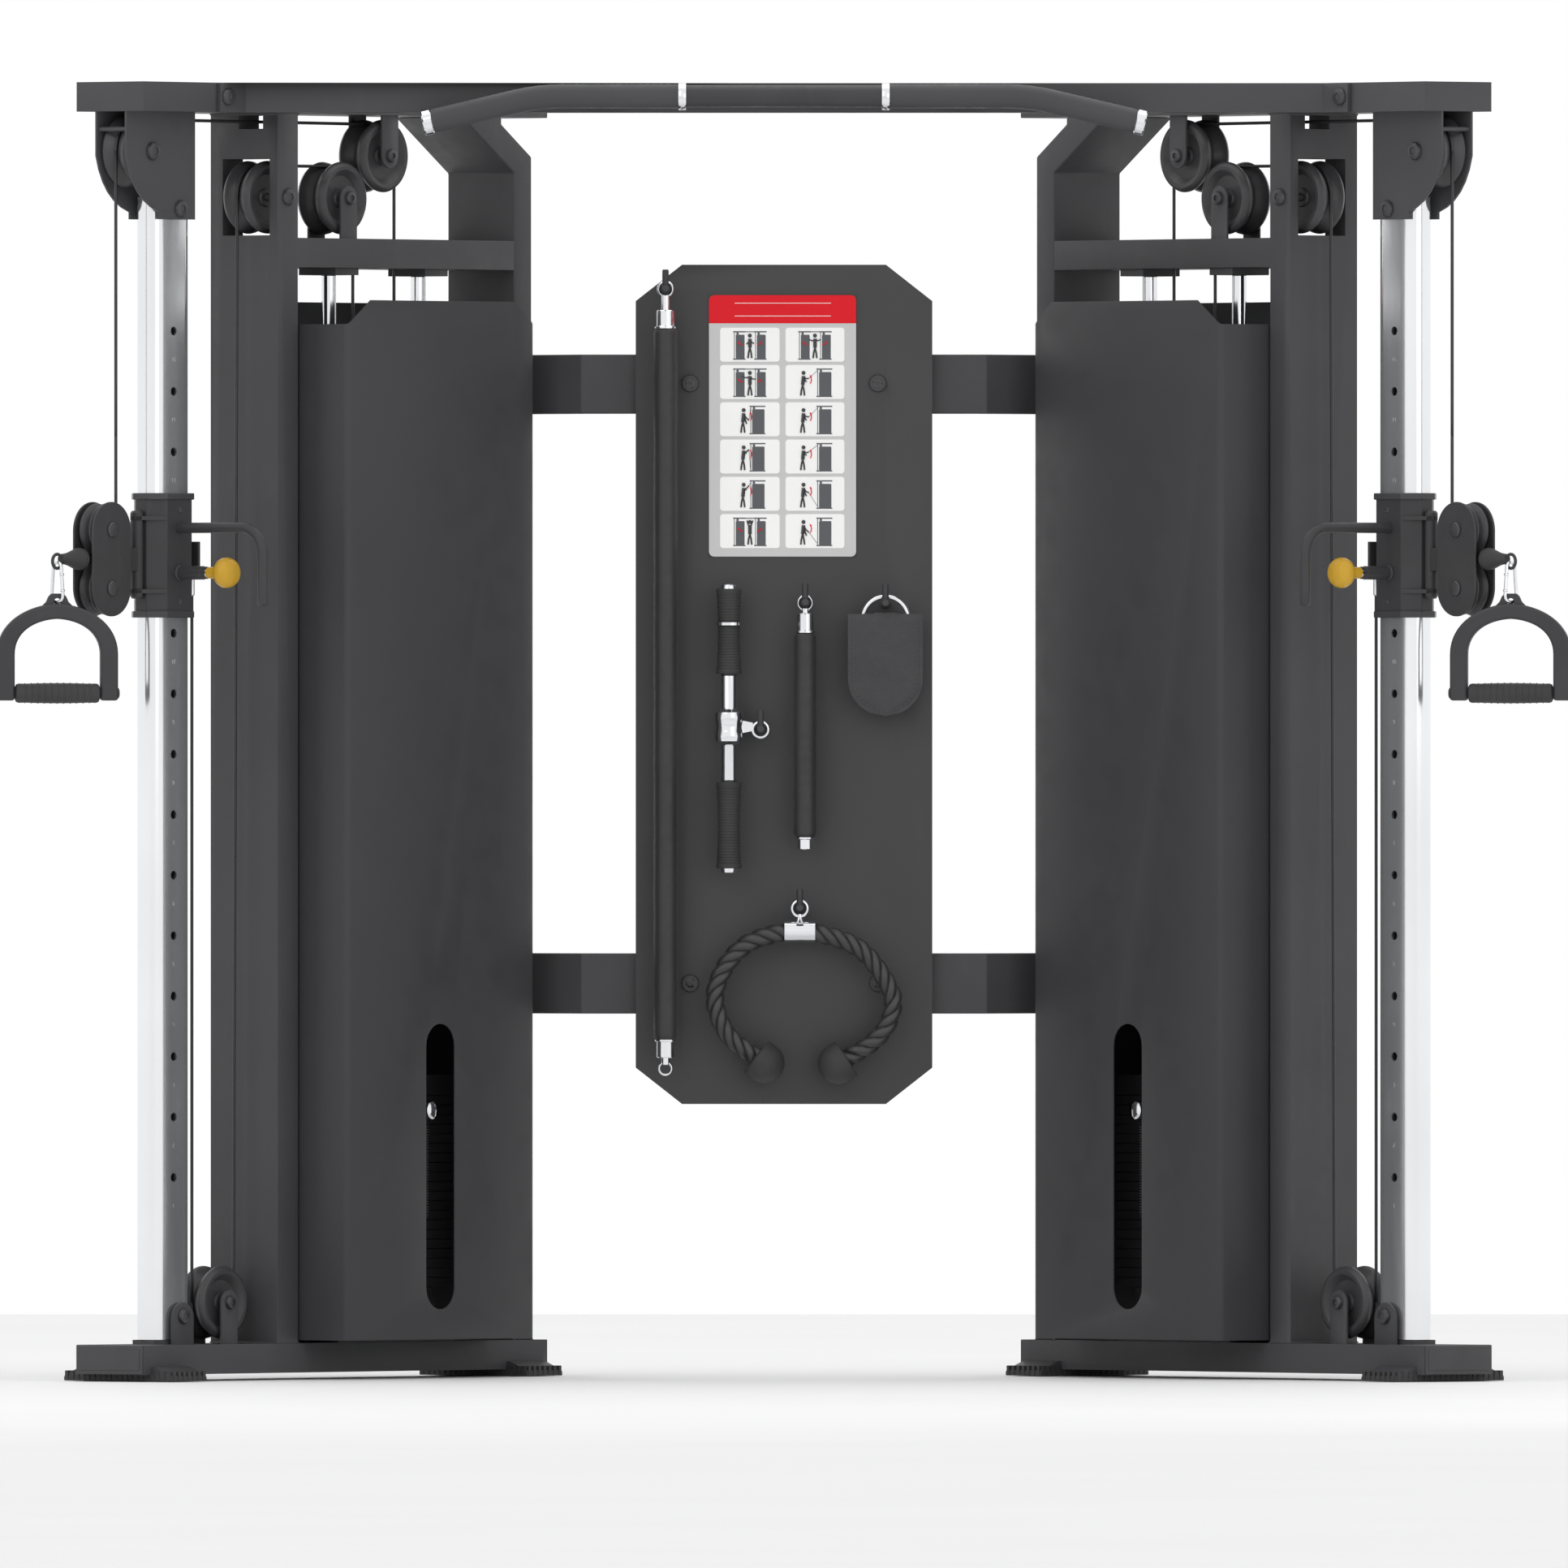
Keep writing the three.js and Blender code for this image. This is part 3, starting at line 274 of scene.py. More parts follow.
def noise(tree, scale, detail, stretch=None):
    place = add_node(tree, "TexCoord").outputs["Object"]
    if stretch:
        place = add_node(tree, "Mapping", {"Scale": stretch}, {"Vector": place}).outputs["Vector"]
    return add_node(tree, "TexNoise", {"Scale": scale, "Detail": detail}, {"Vector": place}).outputs["Fac"]


def add_ramp(tree, source, low, high, places=(0.3, 0.7)):
    """Takes noise from one value or colour to another, between two places."""
    ramp = add_node(tree, "ValToRGB", links={"Fac": source})
    for element, place, value in zip(ramp.color_ramp.elements, places, (low, high)):
        element.position = place
        element.color = value if isinstance(value, tuple) else (value, value, value, 1)
    return ramp.outputs["Color"]


def surface(name, color, roughness, metallic=0.0, grain=(900, 0.15, 0.0003), blotch=(6, 0.12),
            rough_range=0.08, stretch=None, coat=0.0, sheen=0.0, scuffs=0.0, light=None, specular=0.5):
    """A shader with fine grain in its bump, slow colour variation and uneven roughness.

    grain is the noise scale, bump strength and bump depth in metres; blotch is the scale and depth of the slow
    colour variation; scuffs lightens thin streaks; light is the colour that scuffs show. Colours are 0 to 255."""
    material = bpy.data.materials.new(name)
    material.use_nodes = True
    tree = material.node_tree
    shader = tree.nodes["Principled BSDF"]
    values = {"Metallic": metallic, "Specular IOR Level": specular, "Coat Weight": coat, "Coat Roughness": 0.2,
              "Sheen Weight": sheen}
    for socket, value in values.items():
        shader.inputs[socket].default_value = value

    scale, depth = blotch
    dark, bright = (tuple(min(1, c * k) for c in srgb(*color)) + (1,) for k in (1 - depth, 1 + depth))
    tint = add_ramp(tree, noise(tree, scale, 4.0), dark, bright)
    if scuffs:
        mask = add_ramp(tree, noise(tree, 30, 8.0, (1, 1, 0.2)), 0.0, scuffs, (0.62, 0.72))
        streaks = {"Fac": mask, "Color1": tint}
        tint = add_node(tree, "MixRGB", {"Color2": (*srgb(*light), 1)}, streaks).outputs["Color"]
    tree.links.new(tint, shader.inputs["Base Color"])

    low, high = max(0.02, roughness - rough_range), min(1, roughness + rough_range)
    uneven = add_ramp(tree, noise(tree, scale * 8, 5.0, stretch), low, high)
    tree.links.new(uneven, shader.inputs["Roughness"])

    grain_scale, strength, distance = grain
    fine = noise(tree, grain_scale, 2.0, stretch)
    bump = add_node(tree, "Bump", {"Strength": strength, "Distance": distance}, {"Height": fine})
    tree.links.new(bump.outputs["Normal"], shader.inputs["Normal"])
    return material


def woven(name, color, cell):
    """Webbing: two crossed bands of threads with a sheen."""
    material = surface(name, color, 0.85, grain=(2500, 0.6, 0.0006), sheen=0.4)
    tree = material.node_tree
    threads = add_node(tree, "Math")
    threads.operation = "MULTIPLY"
    for direction, socket in zip("XZ", threads.inputs):
        place = add_node(tree, "TexCoord").outputs["Object"]
        wave = add_node(tree, "TexWave", {"Scale": cell, "Distortion": 0.4}, {"Vector": place})
        wave.bands_direction = direction
        tree.links.new(wave.outputs["Fac"], socket)
    tree.links.new(threads.outputs["Value"], tree.nodes["Bump"].inputs["Height"])
    return material


MATERIALS = {
    "powder": surface("powder_coat", (71, 71, 73), 0.45, grain=(1400, 0.22, 0.0004), blotch=(5, 0.06),
                      scuffs=0.08, light=(96, 96, 98), specular=0.22),
    "cover": surface("cover_coat", (62, 62, 64), 0.42, grain=(1800, 0.22, 0.0004), blotch=(3, 0.05), specular=0.25),
    "satin": surface("satin_black", (58, 58, 60), 0.4, grain=(1600, 0.15, 0.0003), blotch=(9, 0.1),
                     scuffs=0.12, light=(90, 90, 92), specular=0.3),
    "board": surface("board_coat", (73, 73, 74), 0.5, grain=(1800, 0.22, 0.0004), blotch=(3, 0.04), specular=0.15),
    "chrome": surface("chrome", (232, 233, 236), 0.12, 1.0, grain=(600, 0.03, 0.0001), blotch=(4, 0.04),
                      rough_range=0.05, stretch=(1, 1, 0.05)),
    # bore is painted shade: a near-black colour for the column's hollow inside, which would only be in shadow.
    "bore": surface("painted_shade_inside", (12, 12, 13), 0.9, grain=(900, 0.1, 0.0002), specular=0.05),
    "column": surface("chrome_column", (236, 237, 239), 0.16, 0.9, grain=(900, 0.04, 0.0001), blotch=(3, 0.04),
                      rough_range=0.05, stretch=(1, 1, 0.02)),
    "nylon": surface("black_nylon", (60, 60, 62), 0.36, grain=(700, 0.1, 0.0003), blotch=(12, 0.12),
                     scuffs=0.15, light=(80, 80, 82), specular=0.4),
    "bolt": surface("bolt_steel", (74, 74, 77), 0.34, 0.5, grain=(1200, 0.1, 0.0002), blotch=(20, 0.15)),
    "rubber": surface("grip_rubber", (58, 58, 59), 0.6, grain=(900, 0.5, 0.0008), blotch=(14, 0.12), specular=0.3),
    "foam": surface("foam_sleeve", (36, 36, 37), 0.5, grain=(1500, 0.3, 0.0004), blotch=(10, 0.15), sheen=0.1,
                    specular=0.6),
    "iron": surface("painted_iron", (48, 48, 50), 0.5, grain=(350, 0.35, 0.0008), blotch=(15, 0.2),
                    scuffs=0.2, light=(88, 88, 90), specular=0.3),
    "yellow": surface("yellow_plastic", (200, 156, 40), 0.35, grain=(900, 0.1, 0.0002), blotch=(15, 0.06),
                      coat=0.15, specular=0.3),
    "cord": surface("cable_jacket", (34, 34, 36), 0.35, grain=(2200, 0.25, 0.0003), blotch=(30, 0.2)),
    "rope": surface("rope_fibre", (26, 26, 28), 0.4, grain=(1300, 0.35, 0.0005), blotch=(40, 0.2), sheen=0.1,
                    specular=0.8),
    "webbing": woven("webbing", (62, 62, 64), 90),
}
for key, name, color, spread, gloss in (
        ("label_grey", "label_grey", (203, 203, 203), 0.02, 0.1), ("label_red", "label_red", (224, 36, 46), 0.03, 0.1),
        ("label_white", "label_white", (250, 250, 249), 0.02, 0.1), ("ink", "label_ink", (84, 86, 90), 0.03, 0.5),
        ("number", "number_ink", (165, 165, 165), 0.03, 0.5)):
    MATERIALS[key] = surface(name, color, 0.5, grain=(900, 0.04, 0.0001), blotch=(4, spread), specular=gloss)


# ------ camera and light
def make_camera():
    """A very long lens straight at the front, so the view is close to parallel."""
    data = bpy.data.cameras.new("camera")
    data.sensor_width = 36
    data.lens = 1000
    frame_width = 2.668
    distance = frame_width * data.lens / data.sensor_width
    data.clip_start = 1
    data.clip_end = distance * 2
    camera = add_object("camera", data)
    camera.location = (0, -distance, 1.011)
    camera.rotation_euler = (math.radians(90), 0, 0)
    bpy.context.scene.camera = camera


def area_light(name, place, target, size, power):
    data = bpy.data.lights.new(name, "AREA")
    data.shape = "RECTANGLE"
    data.size, data.size_y = size
    data.energy = power
    light = add_object(name, data)
    light.location = place
    direction = Vector(target) - Vector(place)
    light.rotation_euler = direction.to_track_quat("-Z", "Y").to_euler()


def make_stage():
    world = bpy.data.worlds.new("studio")
    world.use_nodes = True
    background = world.node_tree.nodes["Background"].inputs
    background["Color"].default_value = (1, 1, 1, 1)
    background["Strength"].default_value = 1.0
    bpy.context.scene.world = world
    bpy.context.scene.view_settings.view_transform = "Standard"

    bm = bmesh.new()
    add_faces(bm, [(-9, -60, -0.001), (9, -60, -0.001), (9, 9, -0.001), (-9, 9, -0.001)], [(0, 1, 2, 3)])
    floor = add_object("floor", to_mesh(bm, "floor"))
    floor.data.materials.append(surface("floor_paper", (240, 240, 240), 0.7, blotch=(1, 0.01)))

    area_light("key", (-2.6, -4.5, 4.2), (0, 0, 1.1), (3, 3), 22)
    area_light("fill", (2.8, -4.6, 2.6), (0, 0, 1.1), (3, 3), 14)
    area_light("top", (0, 0.2, 4.6), (0, 0, 0), (3.5, 2.5), 20)


make_camera()
make_stage()


# ------ shared details
def boolean_cut(bm, cutter):
    """Cuts one bmesh out of another and returns the result as a bmesh."""
    objects = []
    for part in (bm, cutter):
        bmesh.ops.recalc_face_normals(part, faces=part.faces)
        objects.append(add_object("work", to_mesh(part, "work")))
    body, tool = objects
    modifier = body.modifiers.new("cut", "BOOLEAN")
    modifier.object = tool
    modifier.solver = "EXACT"
    modifier.use_self = True
    bpy.context.view_layer.update()
    evaluated = body.evaluated_get(bpy.context.evaluated_depsgraph_get())
    result = bmesh.new()
    result.from_mesh(evaluated.to_mesh())
    evaluated.to_mesh_clear()
    for obj in objects:
        bpy.data.meshes.remove(obj.data)
    return result


def add_bolt_head(bm, centre, direction, radius, height=7.6):
    """A domed head with a hex socket, standing on a plane across x; direction is +1 or -1."""
    profile = [(0, 0), (1, 0), (1, 0.4), (0.86, 0.85), (0.55, 1), (0.42, 1), (0.4, 0.45), (0, 0.4)]
    add_turned(bm, "x", centre, [(radius * r, direction * height * h) for r, h in profile], 24)


class Tower:
    """Builds pieces of one tower: each call places a bmesh with that tower's matrix and name."""

    def __init__(self, side):
        self.side = side
        self.matrix = tower_matrix(side)

    def body(self, name):
        return name if name == "frame" else f"{self.side}_{name}"

    def piece(self, bm, name, material, body="frame", replaces=(), matrix=None, **look):
        nodes = [f"{self.side}_{node}" for node in replaces]
        return finish_mesh(bm, f"{self.side}_{name}", matrix or self.matrix, material, self.body(body), nodes, **look)


def pulley_profile(size):
    rim, groove, half, bore = (size[k] for k in ("rim", "groove", "half", "bore"))
    upper = [
        (bore + 0.4, 0.72), (bore + 8, 0.72), (bore + 10, 0.6), (rim * 0.62, 0.62), (rim * 0.7, 0.8),
        (rim * 0.78, 0.96), (rim * 0.88, 0.98), (rim * 0.96, 0.88), (rim, 0.72), (rim - 0.6, 0.6),
        (groove + (rim - groove) * 0.5, 0.28), (groove + 2, 0.12),
    ]
    back = [(r, -h * half) for r, h in upper]
    return back + [(groove, 0)] + [(r, h * half) for r, h in reversed(upper)]


# ------ tower: column, covers, stack
def make_column(t):
    bottom, top, wall = (COLUMN[k] for k in ("bottom", "top", "wall"))
    body = bmesh.new()
    add_prism(body, "z", column_outline(0), bottom, top)
    tool = bmesh.new()
    add_prism(tool, "z", column_outline(-wall), bottom - 5, top + 5)
    for i in range(HOLES["count"]):
        place = (0, COLUMN["y"], HOLES["top"] - i * HOLES["pitch"])
        add_rod(tool, "x", place, HOLES["radius"], 10, 40, 0.1, 20)
    t.piece(boolean_cut(body, tool), "column", "column", replaces=["column"], smooth=30)
    # Painted shade: a near-black sheet inside the hollow column darkens what shows through the holes.
    shade_sheet = bmesh.new()
    add_prism(shade_sheet, "z", column_outline(-wall - 0.3), bottom + 2, top - 2)
    t.piece(shade_sheet, "column_inside_shade", "bore")


DIGITS = {  # strokes of each digit on a grid 2 wide and 4 high
    "0": [(0, 0), (2, 0), (2, 4), (0, 4), (0, 0)],
    "1": [(0.5, 3.3), (1, 4), (1, 0)],
    "2": [(0, 4), (2, 4), (2, 2), (0, 2), (0, 0), (2, 0)],
    "3": [(0, 4), (2, 4), (2, 2), (0.6, 2), (2, 2), (2, 0), (0, 0)],
    "4": [(0, 4), (0, 2), (2, 2), (2, 4), (2, 0)],
    "5": [(2, 4), (0, 4), (0, 2), (2, 2), (2, 0), (0, 0)],
    "6": [(2, 4), (0, 4), (0, 0), (2, 0), (2, 2), (0, 2)],
    "7": [(0, 4), (2, 4), (0.8, 0)],
    "8": [(0, 2), (0, 4), (2, 4), (2, 2), (0, 2), (0, 0), (2, 0), (2, 2)],
    "9": [(2, 2), (0, 2), (0, 4), (2, 4), (2, 0), (0, 0)],
}


def make_hole_numbers(t):
    """Small numbers between the holes, as on a scale. They are mirrored back so that both towers read right."""
    bm = bmesh.new()
    unit = 1.6
    face = COLUMN["wide"] / 2 + 0.15
    flip = 1 if t.side == "left" else -1
    for i in range(HOLES["count"]):
        text = str(HOLES["count"] - i)
        z = HOLES["top"] - i * HOLES["pitch"] - HOLES["pitch"] / 2
        start = -1.5 * unit * len(text)
        for k, digit in enumerate(text):
            strokes = [
                (face, COLUMN["y"] + flip * (start + k * 3.2 * unit + a * unit), z + b * unit)
                for a, b in DIGITS[digit]
            ]
            sweep(bm, strokes, 0.35, 4)
    t.piece(bm, "hole_numbers", "number")


def make_guide_rods(t):
    x, y = STACK["x"], STACK["y"]
    rods, base = bmesh.new(), bmesh.new()
    add_box(base, x - 49, x + 49, 505, 799, 61.3, 73)
    buffer = [(14, 73), (28, 73), (30, 78), (27, 90), (30, 102), (27, 114), (30, 126), (27, 138), (29, 154), (14, 154)]
    for side in (-1, 1):
        centre = (x, y + side * ROD_SPREAD, 0)
        add_rod(rods, "z", centre, 12.5, 73, 1876.7)
        add_turned(base, "z", centre, buffer, 32)
    t.piece(rods, "guide_rods", "chrome", replaces=["guide_rods"])
    t.piece(base, "stack_buffers", "rubber", bevel=1.5)


def add_plate(bm, bottom, height, notch):
    """One weight plate with chamfered ends; the notch is the selector slot in its front face."""
    x, y, hx, hy = (STACK[k] for k in ("x", "y", "half_x", "half_y"))
    cut = 8
    outline = [
        (x - hx, y - hy + cut), (x - hx + cut, y - hy), (x + hx - cut, y - hy), (x + hx, y - hy + cut),
        (x + hx, y + hy - cut), (x + hx - cut, y + hy), (x - hx + cut, y + hy), (x - hx, y + hy - cut),
    ]
    add_prism(bm, "z", outline, bottom, bottom + height)
    if notch:
        middle = bottom + height / 2
        add_turned(bm, "x", (x + hx, y, middle), [(5.2, -0.2), (6.6, -0.2), (6.6, 0.8), (5.2, 0.8)], 20)


def make_stack(t):
    x, y, bottom, pitch, head_top = (STACK[k] for k in ("x", "y", "bottom", "pitch", "head_top"))
    lower, upper, pin = (bmesh.new() for _ in range(3))
    thickness = pitch - 1
    for i in range(LOWER_PLATES + 2):
        add_plate(lower if i < LOWER_PLATES else upper, bottom + i * pitch, thickness, True)
    t.piece(lower, "lower_plates", "iron", replaces=["lower_plates"], bevel=1.2)
    first = bottom + LOWER_PLATES * pitch
    head_bottom = first + 2 * pitch
    add_plate(upper, head_bottom, head_top - head_bottom, False)
    add_rod(upper, "z", (x, y, 0), 12, bottom + pitch, first)
    axle_z = AXLES["stack_pulley"][2]
    outline = strap_outline(y, 21, head_top - 1, axle_z + 21, False)
    for side in (-1, 1):
        add_prism(upper, "x", outline, *sorted((x + side * 34, x + side * 38)))
        add_bolt_head(upper, (x + side * 38, y, axle_z), side, 11, 5)
    add_rod(upper, "x", AXLES["stack_pulley"], 6.5, x - 38, x + 38)
    t.piece(upper, "top_plates", "iron", "stack", ["top_plates"], bevel=1.2)

    pin_z = first + thickness / 2
    add_turned(pin, "x", (0, y, pin_z), [
        (0, -11), (4, -11), (5, -9), (5, 131), (9, 131.5), (14.5, 133), (16.5, 137), (16.5, 158), (15, 162.5),
        (11, 164.5), (0, 164.8),
    ], 40)
    t.piece(pin, "selector_pin", "chrome", "selector_pin", ["selector_pin"])
    make_lanyard(t, pin_z)


def make_lanyard(t, pin_z):
    """The coiled cord that keeps the selector pin: it hangs from the pin's knob in front of the stack."""
    x, y, top, low, turns = 146, STACK["y"], pin_z - 24, pin_z - 178, 34
    points = [(x, y, pin_z - 15.5), (x, y, pin_z - 19)]
    for i in range(turns * 10 + 1):
        angle = 2 * math.pi * i / 10
        points.append((x + 5 * math.cos(angle), y + 5 * math.sin(angle), top + (low - top) * i / (turns * 10)))
    bm = bmesh.new()
    sweep(bm, [*points, (x, y, low - 6), (x - 8, y, low - 16)], 1.3, 6)
    t.piece(bm, "pin_lanyard", "cord", "selector_pin")


# ------ tower: pulleys and carriage
def make_pulleys(t):
    wheels = {name: (centre, PULLEY, 56) for name, centre in AXLES.items()}
    for name, side in (("upper_block_pulley", 1), ("lower_block_pulley", -1)):
        wheels[name] = ((0, BLOCK["y"], BLOCK["z"] + side * BLOCK["spacing"] / 2), SMALL_PULLEY, 48)
    for name, (centre, size, segments) in wheels.items():
        bm = bmesh.new()
        add_turned(bm, "x", centre, pulley_profile(size), segments)
        t.piece(bm, name, "nylon", name, [name])


def make_bolt_heads(t):
    """Round heads over the frame's axle bolts."""
    bm = bmesh.new()
    bolts = (  # the bolt's middle, how far out its two heads stand, and their radius
        (AXLES["top_pulley"], 35, 15.5), ((0, 141, 1986), 35, 14.5), ((0, 374.5, 2008), 75, 14.5),
        ((0, 149, 109), 35, 13.5), (AXLES["base_pulley"], 38, 11.6), (AXLES["idler_1"], 38, 11.6),
        (AXLES["idler_2"], 38, 11.6),
    )
    for (x, y, z), out, radius in bolts:
        for side in (1, -1):
            add_bolt_head(bm, (x + side * out, y, z), side, radius)
    add_bolt_head(bm, (83, 209, 2176), 1, 14.8)
    t.piece(bm, "bolt_heads", "bolt")


def octagon(grow):
    y0, y1, x = SLEEVE["y0"] - grow, SLEEVE["y1"] + grow, SLEEVE["half"] + grow
    c = SLEEVE["chamfer"]
    front = [(-x, y0 + c), (-x + c, y0), (x - c, y0), (x, y0 + c)]
    return front + [(x, y1 - c), (x - c, y1), (-x + c, y1), (-x, y1 - c)]


def make_carriage(t):
    z0, z1, collar = SLEEVE["z0"], SLEEVE["z1"], SLEEVE["collar"]
    bore = column_outline(0.8)
    body, collars = bmesh.new(), bmesh.new()
    add_prism(body, "z", octagon(0), z0 + 2, z1 - 2)
    for low in (z0, z1 - collar):
        add_prism(collars, "z", octagon(3), low, low + collar)
    for part, name, material, nodes, bevel in ((body, "sleeve", "satin", ["carriage"], 1.2),
                                               (collars, "sleeve_collars", "nylon", [], 1.5)):
        tool = bmesh.new()
        add_prism(tool, "z", bore, z0 - 5, z1 + 5)
        t.piece(boolean_cut(part, tool), name, material, "carriage", nodes, bevel=bevel)

    arms = bmesh.new()
    outline = [(-38, 104), *arc((0, HINGE_Y), 11, 180, 360, 14), (38, 104), (33, 98), (13.5, 79.6), (-13.5, 79.6),
               (-33, 98)]
    for z in (1334, 1458):
        add_prism(arms, "z", outline, z, z + 7)
    for knuckle in ([(0, 1325), (8, 1325), (11, 1329), (11, 1342), (0, 1342)],
                    [(0, 1457), (11, 1457), (11, 1470), (8, 1474), (0, 1474)]):
        add_turned(arms, "z", (0, HINGE_Y, 0), knuckle, 28)
    add_box(arms, -30, 30, 193, 199, 1378, 1422)
    add_box(arms, -9, 9, 198, 222, 1385, 1401)
    t.piece(arms, "hinge_arms", "satin", "carriage", bevel=1.0)

    rod = bmesh.new()
    route = [(a, 1445) for a in (36, 60, 100, 140)] + arc((179, 1400), 45, 90, 0, 14)
    route += [(224, z) for z in (1370, 1340, 1316, 1313.5, 1312.3)]
    radii = [9] * (len(route) - 2) + [7.4, 4.5]
    sweep(rod, [(a, COLUMN["y"], b) for a, b in route], radii, 20)
    t.piece(rod, "adjusting_rod", "satin", "carriage")

    pop_pin = (0, COLUMN["y"], POP_PIN_Z)
    barrel = bmesh.new()
    add_turned(barrel, "x", pop_pin, [
        (6, 36.5), (13.5, 36.5), (13.5, 40), (11.5, 42), (11.5, 92), (10.5, 93), (10.5, 99.5), (6, 100),
    ], 32)
    t.piece(barrel, "pop_pin_barrel", "satin", "carriage")
    screws = bmesh.new()
    for z in (1320, 1475):
        add_turned(screws, "x", (37, 140, z), [(0, 0), (5, 0), (5, 0.8), (3, 1.6), (2.2, 0.6), (0, 0.5)], 20)
    t.piece(screws, "sleeve_screws", "bolt", "carriage")

    pin = bmesh.new()
    add_turned(pin, "x", pop_pin, [(0, 27), (3.5, 27), (4.5, 29), (4.5, 103), (0, 103)], 24)
    add_turned(pin, "x", pop_pin, [(0, 100.5), (9, 100.5), (9, 104), (0, 104)], 24)
    t.piece(pin, "pop_pin_shank", "chrome", "pop_pin")
    knob = bmesh.new()
    add_turned(knob, "x", pop_pin, [
        (0, 102.5), (9, 102.5), (10, 104), (9.6, 120), (11, 124), (17, 127), (22.5, 132), (25.4, 138), (26, 144),
        (24.8, 150), (21.5, 156), (16, 160.5), (9, 162.6), (0, 163),
    ], 48)
    t.piece(knob, "pop_pin_knob", "yellow", "pop_pin", ["pop_pin"])


def make_block(t):
    y, z, half, tall, inner, outer = (BLOCK[k] for k in ("y", "z", "half", "tall", "inner", "outer"))
    plates = bmesh.new()
    outline = strap_outline(y, half, z - tall, z + tall, True, 28)
    for a, b in ((-outer, -inner), (inner, outer)):
        add_prism(plates, "x", outline, a, b)
    add_box(plates, -19.5, 19.5, 19, 27, 1372, 1411)
    add_box(plates, -9, 9, 26, 64, 1372, 1411)
    barrel = [(5.6, 1341.8), (10, 1341.8), (11, 1343), (11, 1456), (10, 1457.2), (5.6, 1457.2)]
    add_turned(plates, "z", (0, HINGE_Y, 0), barrel, 32)
    t.piece(plates, "block_plates", "satin", "swivel", ["swivel_block"], bevel=0.9)
    heads = bmesh.new()
    for side in (-1, 1):
        centre = (0, y, z + side * BLOCK["spacing"] / 2)
        add_rod(heads, "x", centre, 5.5, -outer, outer)
        for face in (-1, 1):
            profile = [(0, 0), (13, 0), (13, 2.5), (11, 4.6), (7, 5), (0, 5)]
            add_turned(heads, "x", centre, [(r, face * (outer + out)) for r, out in profile], 32)
    t.piece(heads, "block_bolts", "bolt", "swivel")

    stop = bmesh.new()
    profile = [(0, 0), (14, 0), (18, 3), (19, 9), (18.4, 15), (15.5, 24), (11, 38), (9.3, 48), (8.6, 55), (6, 57),
               (0, 57)]
    add_turned(stop, "y", (0, 0, z), [(r, y - half - 0.3 - a) for r, a in profile], 40)
    eye = arc((EYE_Y, z - 4), 12, 0, 360, 24)[:-1]
    sweep(stop, [(0, *place) for place in eye], 2.8, 10, closed=True)
    t.piece(stop, "ball_stop", "rubber", "swivel", ["ball_stop"], slot="black_nylon")


# ------ tower: handle and cable
HANDLE = {"outer": 103, "inner": 73, "top": 1316, "inner_top": 1290, "leg_low": 1152, "grip_z": 1164.5, "grip_r": 16.5}
HANDLE_TURN = TOWER_TURN + math.radians(8)


def bezier(corners, k):
    """The point at k from 0 to 1 on the curve that three or more corners pull."""
    while len(corners) > 1:
        corners = [a.lerp(b, k) for a, b in zip(corners, corners[1:])]
    return corners[0]


